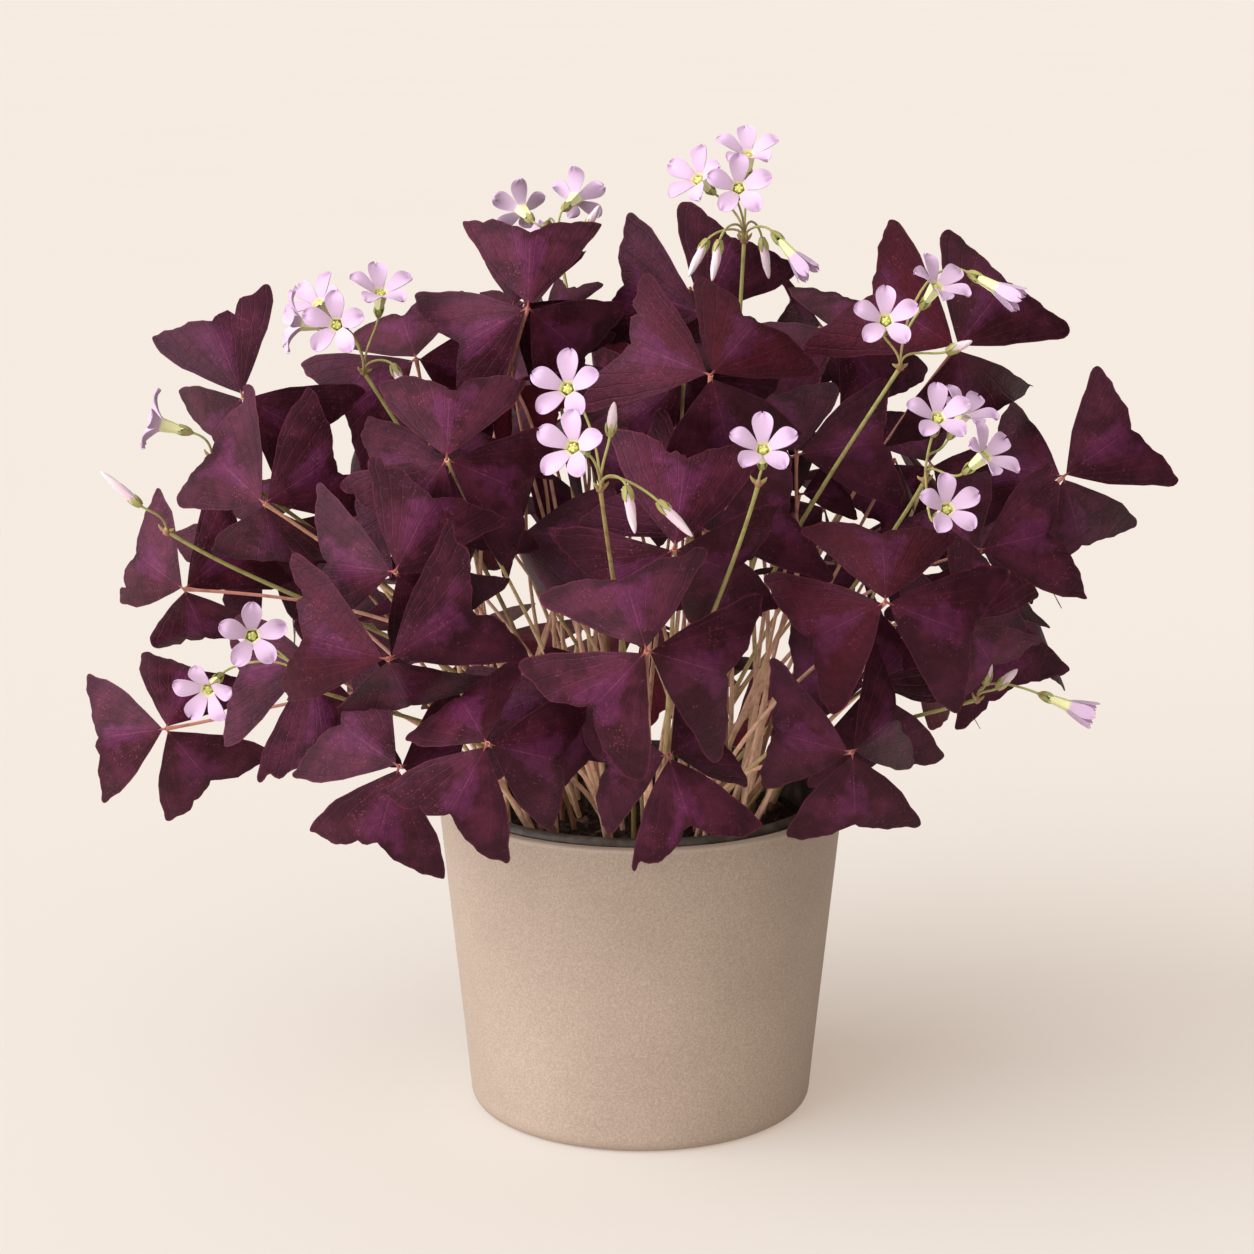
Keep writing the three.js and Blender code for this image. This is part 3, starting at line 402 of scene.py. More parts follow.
def turned(name: str, profile: Array, segments: int, finish: Material, crease: float = 50.0) -> Piece:
    """Turns a profile round the pot's axis.

    Args:
        name: The object's name.
        profile: Points of radius and height that start and end on the axis.
        segments: How many steps go round.
        finish: The object's material.
        crease: Edges sharper than this many degrees stay sharp.

    Returns:
        The new object.
    """
    draft = Draft(name)
    lengths = np.concatenate([[0], np.cumsum(np.linalg.norm(np.diff(profile, axis=0), axis=1))])
    lengths /= lengths[-1]
    angles = np.linspace(0, 2 * math.pi, segments, endpoint=False)
    inner = profile[1:-1]
    rings = [
        np.stack([radius * np.cos(angles), radius * np.sin(angles), np.full(segments, height)], axis=1)
        for radius, height in inner
    ]
    around, along = np.tile(angles, len(inner)), np.repeat(lengths[1:-1], segments)
    first = draft.add(np.concatenate(rings), np.stack([around, along, 0 * along], axis=1))
    start = draft.add([0, 0, profile[0][1]], [0, 0, 0])
    end = draft.add([0, 0, profile[-1][1]], [0, 1, 0])
    draft.wrap(first, len(inner), segments, (start, end))
    return draft.build([finish], crease)


def rounded(corners: Sequence[tuple[float, float, float]], steps: int = 6) -> Array:
    """Rounds a profile's corners.

    Args:
        corners: Radius, height and how far from the corner its rounding starts, in millimetres.
        steps: How many steps each rounding takes.

    Returns:
        The profile's points in metres.
    """
    places = [np.array(c[:2]) for c in corners]
    points = [places[0]]
    for i in range(1, len(corners) - 1):
        reach = corners[i][2]
        before = places[i] + unit(places[i - 1] - places[i]) * reach
        after = places[i] + unit(places[i + 1] - places[i]) * reach
        if reach == 0:
            points.append(places[i])
            continue
        for t in np.linspace(0, 1, steps + 1):
            points.append((1 - t) ** 2 * before + 2 * t * (1 - t) * places[i] + t**2 * after)
    points.append(places[-1])
    return np.array(points) * MM


# ------------------------------------------------------------------ shader helpers
@dataclass
class Nodes:
    """Adds nodes to a node tree."""

    tree: Tree

    def add(self, kind: str, inputs: Optional[dict] = None, **settings: object) -> Node:
        """Adds a node.

        Args:
            kind: The node's type name without "ShaderNode".
            inputs: Its inputs by name or number, each a value or a socket to link.
            settings: Its properties.

        Returns:
            The new node.
        """
        node = self.tree.nodes.new("ShaderNode" + kind)
        for key, value in settings.items():
            setattr(node, key, value)
        for key, value in (inputs or {}).items():
            self.feed(node.inputs[key], value)
        return node

    def feed(self, socket: Socket, value: object) -> None:
        """Links a socket to an input, or sets its value."""
        if isinstance(value, Socket):
            self.tree.links.new(value, socket)
        elif isinstance(value, tuple) and len(value) == 3 and socket.type == "RGBA":
            socket.default_value = (*value, 1.0)
        else:
            socket.default_value = value

    def math(self, operation: str, *values: object, clamp: bool = False) -> Socket:
        """Adds a math node and returns its result."""
        inputs = dict(enumerate(values))
        return self.add("Math", inputs, operation=operation, use_clamp=clamp).outputs[0]

    def times(self, first: object, second: object) -> Socket:
        """Returns the product of two values."""
        return self.math("MULTIPLY", first, second)

    def slope(self, value: object, factor: object, start: object) -> Socket:
        """Returns a value times a factor, plus a start."""
        return self.math("MULTIPLY_ADD", value, factor, start)

    def rise(self, value: object, low: float, high: float) -> Socket:
        """Returns a value that rises smoothly from 0 at low to 1 at high."""
        inputs = {"Value": value, "From Min": low, "From Max": high}
        return self.add("MapRange", inputs, interpolation_type="SMOOTHSTEP").outputs[0]

    def mix(self, share: object, first: object, second: object) -> Socket:
        """Returns a colour between two colours."""
        node = self.add("Mix", data_type="RGBA")
        self.feed(node.inputs[0], share)
        self.feed(node.inputs[6], first)
        self.feed(node.inputs[7], second)
        return node.outputs[2]

    def scaled(self, colour: object, factor: object) -> Socket:
        """Returns a colour made lighter or darker by a factor."""
        return self.tinted(colour, self.add("CombineXYZ", {0: factor, 1: factor, 2: factor}).outputs[0])

    def tinted(self, colour: object, tint: object) -> Socket:
        """Returns a colour times another."""
        node = self.add("Mix", data_type="RGBA", blend_type="MULTIPLY")
        node.inputs[0].default_value = 1.0
        self.feed(node.inputs[6], colour)
        self.feed(node.inputs[7], tint)
        return node.outputs[2]

    def place(self) -> tuple[Socket, Socket, Socket]:
        """Returns the place's across, along and tone."""
        attribute = self.add("Attribute", attribute_name="place", attribute_type="GEOMETRY")
        parts = self.add("SeparateXYZ", {0: attribute.outputs["Vector"]})
        return parts.outputs[0], parts.outputs[1], parts.outputs[2]

    def position(self) -> Socket:
        """Returns where a point lies on the object, in metres."""
        return self.add("TexCoord").outputs["Object"]

    def effect(self, group: Tree, **inputs: object) -> Node:
        """Places a shared effect with its own values."""
        node = self.add("Group", node_tree=group)
        for key, value in inputs.items():
            self.feed(node.inputs[key.replace("_", " ")], value)
        return node


def new_group(name: str, inputs: dict[str, str], outputs: dict[str, str]) -> tuple:
    """Starts a node group.

    Args:
        name: The group's name.
        inputs: Its inputs' names and socket types.
        outputs: Its outputs' names and socket types.

    Returns:
        The group, its Nodes, its input node and its output node.
    """
    group = bpy.data.node_groups.new(name, "ShaderNodeTree")
    for key, kind in inputs.items():
        group.interface.new_socket(name=key, in_out="INPUT", socket_type="NodeSocket" + kind)
    for key, kind in outputs.items():
        group.interface.new_socket(name=key, in_out="OUTPUT", socket_type="NodeSocket" + kind)
    into = group.nodes.new("NodeGroupInput")
    out = group.nodes.new("NodeGroupOutput")
    return group, Nodes(group), into, out


@dataclass
class Effects:
    """The effects that several finishes share, each a node group."""

    mottle: Tree = field(init=False)
    speckle: Tree = field(init=False)
    grain: Tree = field(init=False)

    def __post_init__(self) -> None:
        """Builds the groups."""
        self.mottle = self.make_mottle()
        self.speckle = self.make_speckle()
        self.grain = self.make_grain()

    def make_mottle(self) -> Tree:
        """Makes soft patches of a second colour on a first.

        Returns:
            The node group.
        """
        group, nodes, into, out = new_group(
            "Mottle",
            {"Scale": "Float", "Low": "Float", "High": "Float", "First": "Color", "Second": "Color"},
            {"Colour": "Color", "Mask": "Float"},
        )
        noise = nodes.add("TexNoise", {"Vector": nodes.position(), "Scale": into.outputs["Scale"]})
        noise.inputs["Detail"].default_value = 4.0
        mask = nodes.add("MapRange", {"Value": noise.outputs[0]}, interpolation_type="SMOOTHSTEP")
        nodes.feed(mask.inputs["From Min"], into.outputs["Low"])
        nodes.feed(mask.inputs["From Max"], into.outputs["High"])
        colour = nodes.mix(mask.outputs[0], into.outputs["First"], into.outputs["Second"])
        nodes.feed(out.inputs["Colour"], colour)
        nodes.feed(out.inputs["Mask"], mask.outputs[0])
        return group

    def make_speckle(self) -> Tree:
        """Scatters small dots.

        Returns:
            The node group.
        """
        group, nodes, into, out = new_group(
            "Speckle",
            {"Scale": "Float", "Size": "Float"},
            {"Mask": "Float"},
        )
        cells = nodes.add("TexVoronoi", {"Vector": nodes.position(), "Scale": into.outputs["Scale"]})
        noise = nodes.add("TexNoise", {"Vector": nodes.position()})
        nodes.feed(noise.inputs["Scale"], nodes.times(into.outputs["Scale"], 0.16))
        size = nodes.times(into.outputs["Size"], nodes.rise(noise.outputs[0], 0.42, 0.62))
        gap = nodes.math("SUBTRACT", size, cells.outputs["Distance"])
        mask = nodes.math("DIVIDE", gap, 0.12, clamp=True)
        nodes.feed(out.inputs["Mask"], mask)
        return group

    def make_grain(self) -> Tree:
        """Makes a height of two sizes of fine noise.

        Returns:
            The node group.
        """
        group, nodes, into, out = new_group(
            "Grain",
            {"Scale": "Float", "Coarse": "Float"},
            {"Height": "Float"},
        )
        fine = nodes.add("TexNoise", {"Vector": nodes.position(), "Scale": into.outputs["Scale"]})
        coarse = nodes.add("TexNoise", {"Vector": nodes.position()})
        nodes.feed(coarse.inputs["Scale"], nodes.times(into.outputs["Scale"], 0.12))
        share = nodes.times(coarse.outputs[0], into.outputs["Coarse"])
        nodes.feed(out.inputs["Height"], nodes.math("ADD", fine.outputs[0], share))
        return group


@dataclass(frozen=True)
class Gloss:
    """The numbers of a finish that are the same all over it."""

    roughness: float
    specular: float = 0.5
    specular_tint: Colour = (1.0, 1.0, 1.0)
    sheen: float = 0.0
    sheen_tint: Colour = (1.0, 1.0, 1.0)
    coat: float = 0.0


def new_material(name: str, gloss: Gloss) -> tuple[Material, Nodes, Node]:
    """Starts a material.

    Args:
        name: Its name.
        gloss: Its constant values.

    Returns:
        The material, its Nodes and its Principled shader.
    """
    material = bpy.data.materials.new(name)
    material.use_nodes = True
    shader = material.node_tree.nodes["Principled BSDF"]
    shader.inputs["Roughness"].default_value = gloss.roughness
    shader.inputs["Specular IOR Level"].default_value = gloss.specular
    shader.inputs["Specular Tint"].default_value = (*gloss.specular_tint, 1.0)
    shader.inputs["Sheen Weight"].default_value = gloss.sheen
    shader.inputs["Sheen Tint"].default_value = (*gloss.sheen_tint, 1.0)
    shader.inputs["Coat Weight"].default_value = gloss.coat
    return material, Nodes(material.node_tree), shader


def relief(nodes: Nodes, shader: Node, height: object, strength: float, distance: float) -> None:
    """Bumps a shader's surface by a height."""
    bump = nodes.add("Bump", {"Height": height, "Strength": strength, "Distance": distance})
    nodes.feed(shader.inputs["Normal"], bump.outputs[0])


# ------------------------------------------------------------------ finishes
@dataclass(frozen=True)
class LeafFinish:
    """The skin of a leaflet: plum with a violet patch along the midrib, or wine red below."""

    name: str
    dark: Colour
    light: Colour
    wine: Colour
    patch: Colour
    vein: Colour
    edge: Colour
    rim: Colour
    patch_share: float
    gloss: Gloss
    vein_count: float = 5.0

    def build(self, effects: Effects) -> Material:
        """Makes the material.

        Args:
            effects: The shared effects.

        Returns:
            The material.
        """
        material, nodes, shader = new_material(self.name, self.gloss)
        across, along, tone = nodes.place()
        off_rib = nodes.math("ABSOLUTE", across)
        skin = nodes.effect(
            effects.mottle, Scale=75.0, Low=0.4, High=0.62, First=self.dark, Second=self.light
        )
        base = nodes.mix(nodes.rise(tone, 0.16, 0.0), skin.outputs["Colour"], self.wine)
        base = self.with_patch(nodes, base, off_rib, along)
        lines = self.fan_lines(nodes, off_rib)
        net = self.net_lines(nodes)
        base = self.with_veins(nodes, base, off_rib, along, lines, net)
        dots = nodes.effect(effects.speckle, Scale=800.0, Size=0.3).outputs["Mask"]
        base = nodes.mix(nodes.times(dots, 0.5), base, self.vein)
        zone = nodes.math("MAXIMUM", nodes.rise(off_rib, 0.62, 1.0), nodes.rise(along, 0.72, 1.0))
        rim = nodes.math("MAXIMUM", nodes.rise(off_rib, 0.972, 0.995), nodes.rise(along, 0.975, 0.996))
        base = nodes.mix(nodes.times(zone, 0.4), base, self.edge)
        base = nodes.mix(nodes.times(rim, 0.45), base, self.rim)
        shade = nodes.slope(tone, 0.4, 0.7)
        fine = nodes.effect(effects.mottle, Scale=380.0, Low=0.35, High=0.65).outputs["Mask"]
        shade = nodes.slope(fine, 0.24, shade)
        nodes.feed(shader.inputs["Base Color"], nodes.scaled(base, shade))
        self.with_relief(nodes, shader, effects, lines, net)
        return material

    def with_relief(self, nodes: Nodes, shader: Node, effects: Effects, lines: object, net: object) -> None:
        """Sinks the veins, puckers the skin between them and roughens it.

        Args:
            nodes: The material's nodes.
            shader: Its shader.
            effects: The shared effects.
            lines: The fan of veins, 1 on a vein.
            net: The net of small veins.
        """
        grain = nodes.effect(effects.grain, Scale=1300.0, Coarse=1.2).outputs["Height"]
        pucker = nodes.add("TexNoise", {"Vector": nodes.position(), "Scale": 210.0}).outputs[0]
        height = nodes.slope(pucker, 4.0, grain)
        height = nodes.math("SUBTRACT", height, nodes.times(lines, 1.1))
        height = nodes.math("SUBTRACT", height, nodes.times(net, 0.7))
        relief(nodes, shader, height, 0.5, 0.16 * MM)
        rough = nodes.slope(grain, 0.1, self.gloss.roughness - 0.12)
        nodes.feed(shader.inputs["Roughness"], rough)

    def with_patch(self, nodes: Nodes, base: object, off_rib: object, along: object) -> object:
        """Adds the lighter patch, which fades toward the sides, the hub and the lobes.

        Args:
            nodes: The material's nodes.
            base: The colour so far.
            off_rib: The distance from the midrib.
            along: The place along it.

        Returns:
            The colour with the patch.
        """
        noise = nodes.add("TexNoise", {"Vector": nodes.position(), "Scale": 160.0, "Detail": 5.0})
        uneven = nodes.slope(noise.outputs[0], 0.9, -0.45)
        spread = nodes.math("ADD", off_rib, uneven)
        width = nodes.rise(spread, 0.46, 0.2)
        reach = nodes.math("ADD", along, uneven)
        run = nodes.times(nodes.rise(reach, 0.05, 0.4), nodes.rise(reach, 0.92, 0.72))
        share = nodes.times(nodes.times(width, run), self.patch_share)
        return nodes.mix(share, base, self.patch)

    def with_veins(
        self, nodes: Nodes, base: object, off_rib: object, along: object, lines: object, net: object
    ) -> object:
        """Adds the midrib, the veins that fan out from the hub, and the net between them."""
        rib = nodes.times(nodes.rise(off_rib, 0.03, 0.0), nodes.rise(along, 1.0, 0.2))
        base = nodes.mix(nodes.times(rib, 0.6), base, self.vein)
        fan = nodes.times(lines, nodes.rise(along, 1.0, 0.3))
        base = nodes.mix(nodes.times(fan, 0.1), base, self.vein)
        return nodes.mix(nodes.times(net, 0.12), base, self.edge)

    def fan_lines(self, nodes: Nodes, off_rib: object) -> object:
        """Gives thin lines that fan out from the hub."""
        noise = nodes.add("TexNoise", {"Vector": nodes.position(), "Scale": 90.0})
        bend = nodes.slope(noise.outputs[0], 0.1, -0.05)
        curve = nodes.times(nodes.math("ADD", off_rib, bend), self.vein_count)
        saw = nodes.math("ABSOLUTE", nodes.math("SUBTRACT", nodes.math("FRACT", curve), 0.5))
        return nodes.rise(saw, 0.09, 0.0)

    def net_lines(self, nodes: Nodes) -> object:
        """Gives the fine net of small veins."""
        cells = nodes.add(
            "TexVoronoi", {"Vector": nodes.position(), "Scale": 330.0}, feature="DISTANCE_TO_EDGE"
        )
        return nodes.rise(cells.outputs["Distance"], 0.1, 0.0)


@dataclass(frozen=True)
class StemFinish:
    """A thin stem's skin, which turns from its foot colour to its top colour and varies by its tone."""

    name: str
    foot: Colour
    top: Colour
    second: Colour
    gloss: Gloss = Gloss(roughness=0.45, specular=0.4)

    def build(self, effects: Effects) -> Material:
        """Makes the material.

        Args:
            effects: The shared effects.

        Returns:
            The material.
        """
        material, nodes, shader = new_material(self.name, self.gloss)
        _, along, tone = nodes.place()
        run = nodes.mix(nodes.rise(along, 0.1, 1.0), self.foot, self.top)
        toned = nodes.mix(nodes.rise(tone, 0.55, 1.0), run, self.second)
        spots = nodes.effect(effects.mottle, Scale=260.0, Low=0.45, High=0.7, First=(1.0, 1.0, 1.0))
        spots.inputs["Second"].default_value = (0.72, 0.66, 0.62, 1.0)
        nodes.feed(shader.inputs["Base Color"], nodes.tinted(toned, spots.outputs["Colour"]))
        grain = nodes.effect(effects.grain, Scale=900.0, Coarse=1.0).outputs["Height"]
        relief(nodes, shader, grain, 0.2, 0.1 * MM)
        return material


@dataclass(frozen=True)
class PetalFinish:
    """A petal: pale lilac pink with fine veins, and a yellow green throat."""

    name: str
    body: Colour
    rim: Colour
    vein: Colour
    throat: Colour
    gloss: Gloss = Gloss(roughness=0.5, specular=0.3, sheen=0.2)
    vein_count: float = 7.0

    def build(self, effects: Effects) -> Material:
        """Makes the material.

        Args:
            effects: The shared effects.

        Returns:
            The material.
        """
        material, nodes, shader = new_material(self.name, self.gloss)
        across, along, tone = nodes.place()
        base = nodes.mix(nodes.rise(along, 0.42, 0.95), self.body, self.rim)
        lines = nodes.times(across, 0.5 * self.vein_count)
        saw = nodes.math("ABSOLUTE", nodes.math("SUBTRACT", nodes.math("FRACT", lines), 0.5))
        veins = nodes.times(nodes.rise(saw, 0.16, 0.0), nodes.rise(along, 0.95, 0.35))
        base = nodes.mix(nodes.times(veins, 0.3), base, self.vein)
        base = nodes.mix(nodes.rise(along, 0.46, 0.36), base, self.throat)
        shade = nodes.slope(tone, 0.14, 0.9)
        nodes.feed(shader.inputs["Base Color"], nodes.scaled(base, shade))
        grain = nodes.effect(effects.grain, Scale=1500.0, Coarse=1.5).outputs["Height"]
        height = nodes.math("SUBTRACT", nodes.times(grain, 0.4), veins)
        relief(nodes, shader, height, 0.3, 0.1 * MM)
        return material


@dataclass(frozen=True)
class StonewareFinish:
    """The cover pot: matt taupe stoneware with a fine sandy grain and a paler lip band, partly wear and
    partly a painted highlight.
    """

    body: Colour = (0.4, 0.312, 0.25)
    warm: Colour = (0.445, 0.35, 0.282)
    dark: Colour = (0.29, 0.22, 0.172)
    # the lip band's colour: partly wear, partly a painted highlight along the lip
    lip: Colour = (0.6, 0.49, 0.4)
    gloss: Gloss = Gloss(roughness=0.72, specular=0.35)

    def build(self, effects: Effects, height: float) -> Material:
        """Makes the material.

        Args:
            effects: The shared effects.
            height: The height of the pot's lip.

        Returns:
            The material.
        """
        material, nodes, shader = new_material("stoneware", self.gloss)
        base = nodes.effect(
            effects.mottle, Scale=14.0, Low=0.35, High=0.68, First=self.body, Second=self.warm
        ).outputs["Colour"]
        fine = nodes.effect(effects.mottle, Scale=1500.0, Low=0.3, High=0.72).outputs["Mask"]
        base = nodes.scaled(base, nodes.slope(fine, 0.3, 0.85))
        base = nodes.scaled(base, self.bands(nodes))
        dots = nodes.effect(effects.speckle, Scale=900.0, Size=0.3).outputs["Mask"]
        base = nodes.mix(nodes.times(dots, 0.3), base, self.dark)
        level = nodes.add("SeparateXYZ", {0: nodes.position()}).outputs[2]
        # painted highlight with some wear: a paler band just under the lip's top edge
        lip_band_wear_and_highlight = nodes.rise(level, height - 1.8 * MM, height - 0.5 * MM)
        near_foot = nodes.rise(level, 7 * MM, 0.5 * MM)
        base = nodes.mix(nodes.times(lip_band_wear_and_highlight, 0.45), base, self.lip)
        base = nodes.mix(nodes.times(near_foot, 0.35), base, self.dark)
        nodes.feed(shader.inputs["Base Color"], base)
        grain = nodes.effect(effects.grain, Scale=1900.0, Coarse=0.8).outputs["Height"]
        relief(nodes, shader, grain, 0.5, 0.14 * MM)
        nodes.feed(shader.inputs["Roughness"], nodes.slope(fine, 0.12, 0.6))
        return material

    def bands(self, nodes: Nodes) -> object:
        """Gives the faint level bands that throwing and wiping leave."""
        stretched = nodes.add("Mapping", {"Vector": nodes.position(), "Scale": (6.0, 6.0, 120.0)})
        noise = nodes.add("TexNoise", {"Vector": stretched.outputs[0], "Scale": 1.0, "Detail": 3.0})
        return nodes.slope(noise.outputs[0], 0.07, 0.965)


@dataclass(frozen=True)
class PlasticFinish:
    """The nursery pot: dark brown moulded plastic with dusty patches."""

    body: Colour = (0.052, 0.038, 0.03)
    dust: Colour = (0.13, 0.105, 0.085)
    gloss: Gloss = Gloss(roughness=0.42, specular=0.5)

    def build(self, effects: Effects) -> Material:
        """Makes the material.

        Args:
            effects: The shared effects.

        Returns:
            The material.
        """
        material, nodes, shader = new_material("nursery_plastic", self.gloss)
        base = nodes.effect(
            effects.mottle, Scale=160.0, Low=0.45, High=0.75, First=self.body, Second=self.dust
        )
        nodes.feed(shader.inputs["Base Color"], base.outputs["Colour"])
        rough = nodes.slope(base.outputs["Mask"], 0.25, 0.38)
        nodes.feed(shader.inputs["Roughness"], rough)
        grain = nodes.effect(effects.grain, Scale=1200.0, Coarse=0.6).outputs["Height"]
        relief(nodes, shader, grain, 0.15, 0.1 * MM)
        return material


@dataclass(frozen=True)
class SoilFinish:
    """Dark moist potting soil."""

    body: Colour = (0.016, 0.009, 0.008)
    crumb: Colour = (0.06, 0.036, 0.026)
    gloss: Gloss = Gloss(roughness=0.9, specular=0.2)

    def build(self, effects: Effects) -> Material:
        """Makes the material.

        Args:
            effects: The shared effects.

        Returns:
            The material.
        """
        material, nodes, shader = new_material("potting_soil", self.gloss)
        base = nodes.effect(
            effects.mottle, Scale=300.0, Low=0.4, High=0.7, First=self.body, Second=self.crumb
        )
        tone = nodes.place()[2]
        shade = nodes.slope(tone, 1.2, 0.7)
        nodes.feed(shader.inputs["Base Color"], nodes.scaled(base.outputs["Colour"], shade))
        grain = nodes.effect(effects.grain, Scale=700.0, Coarse=2.0).outputs["Height"]
        relief(nodes, shader, grain, 0.9, 0.8 * MM)
        return material


@dataclass(frozen=True)
class BackdropFinish:
    """The plain floor and backdrop, with a painted warm glow that lifts and warms the shadows cast on it
    and lights the pot from below.
    """

    body: Colour = (0.43, 0.445, 0.442)
    # painted light: a warm glow that lifts the floor's cast shadows
    painted_glow: Colour = (0.9, 0.71, 0.58)
    painted_glow_strength: float = 0.44
    gloss: Gloss = Gloss(roughness=0.9, specular=0.0)

    def build(self, effects: Effects) -> Material:
        """Makes the material.

        Args:
            effects: The shared effects.

        Returns:
            The material.
        """
        material, nodes, shader = new_material("backdrop", self.gloss)
        second = tuple(0.985 * share for share in self.body)
        base = nodes.effect(effects.mottle, Scale=2.0, Low=0.3, High=0.7, First=self.body, Second=second)
        nodes.feed(shader.inputs["Base Color"], base.outputs["Colour"])
        # painted light: the floor glows warm so its shadows read lighter and warmer
        shader.inputs["Emission Color"].default_value = (*self.painted_glow, 1.0)
        shader.inputs["Emission Strength"].default_value = self.painted_glow_strength
        return material


@dataclass
class Palette:
    """All the materials of the plant."""

    effects: Effects

    def __post_init__(self) -> None:
        """Builds the materials."""
        self.leaf_top = LeafFinish(
            name="leaf_upper",
            dark=(0.031, 0.0042, 0.0075),
            light=(0.07, 0.011, 0.025),
            wine=(0.075, 0.006, 0.012),
            patch=(0.108, 0.017, 0.066),
            vein=(0.2, 0.05, 0.09),
            edge=(0.015, 0.0042, 0.0085),
            rim=(0.13, 0.02, 0.035),
            patch_share=0.6,
            gloss=Gloss(roughness=0.5, specular=0.25, specular_tint=(0.95, 0.5, 0.75)),
        ).build(self.effects)
        self.leaf_under = LeafFinish(
            name="leaf_under",
            dark=(0.07, 0.006, 0.012),
            light=(0.11, 0.01, 0.02),
            wine=(0.118, 0.008, 0.018),
            patch=(0.12, 0.012, 0.032),
            vein=(0.2, 0.035, 0.055),
            edge=(0.03, 0.004, 0.006),
            rim=(0.16, 0.02, 0.032),
            patch_share=0.4,
            gloss=Gloss(roughness=0.46, specular=0.25, specular_tint=(0.95, 0.5, 0.7)),
        ).build(self.effects)
        self.petiole = self.stem("petiole", (0.88, 0.56, 0.39), (0.55, 0.22, 0.17), (0.66, 0.52, 0.24))
        self.joint = self.stem("leaf_joint", (0.3, 0.07, 0.06), (0.2, 0.04, 0.045), (0.3, 0.07, 0.06))
        self.crown = self.stem("crown", (0.12, 0.06, 0.035), (0.2, 0.1, 0.06), (0.16, 0.07, 0.05))
        self.scape = self.stem("scape", (0.34, 0.17, 0.1), (0.33, 0.32, 0.1), (0.36, 0.27, 0.1))
        self.calyx = self.stem("calyx", (0.38, 0.3, 0.12), (0.42, 0.46, 0.14), (0.4, 0.4, 0.13))
        self.petal = PetalFinish(
            name="petal",
            body=(0.7, 0.52, 0.7),
            rim=(0.65, 0.45, 0.67),
            vein=(0.55, 0.33, 0.58),
            throat=(0.9, 0.9, 0.5),
        ).build(self.effects)
        self.bud = PetalFinish(
            name="bud",
            body=(0.84, 0.62, 0.74),
            rim=(0.86, 0.7, 0.76),
            vein=(0.6, 0.3, 0.5),
            throat=(0.45, 0.42, 0.2),
        ).build(self.effects)
        self.stamen = self.stem("stamen", (0.6, 0.66, 0.2), (0.85, 0.78, 0.25), (0.78, 0.76, 0.26))

    def stem(self, name: str, foot: Colour, top: Colour, second: Colour) -> Material:
        """Returns the material of a stem, by its colours at the foot and the top and its second colour."""
        return StemFinish(name=name, foot=foot, top=top, second=second).build(self.effects)


# ------------------------------------------------------------------ leaves
@dataclass
class Unevenness:
    """What sets one leaflet apart from the next: its notch, sides, waves and the nicks in its edge."""

    phase: Array
    notch: float
    bulge: float
    nicks: Array

    @classmethod
    def drawn(cls, draws: Draws) -> "Unevenness":
        """Draws a leaflet's unevenness."""
        phase = draws.uniform(0, 2 * math.pi, 8)
        notch = draws.uniform(0.7, 0.83)
        bulge = draws.uniform(0.075, 0.125)
        count = int(draws.integers(0, 3))
        nicks = draws.uniform((-0.92, 0.03, 0.045), (0.92, 0.11, 0.1), (count, 3))
        return cls(phase, notch, bulge, nicks)


@dataclass
class Leaflet:
    """One of a leaf's three leaflets."""

    hub: Array
    rib: Array
    normal: Array
    length: float
    uneven: Optional[Unevenness] = None


@dataclass
class Leaf:
    """A leaf: where its leaflets meet, its leaflets, and the four control points of its petiole."""

    hub: Array
    leaflets: list[Leaflet]
    route: list[Array]


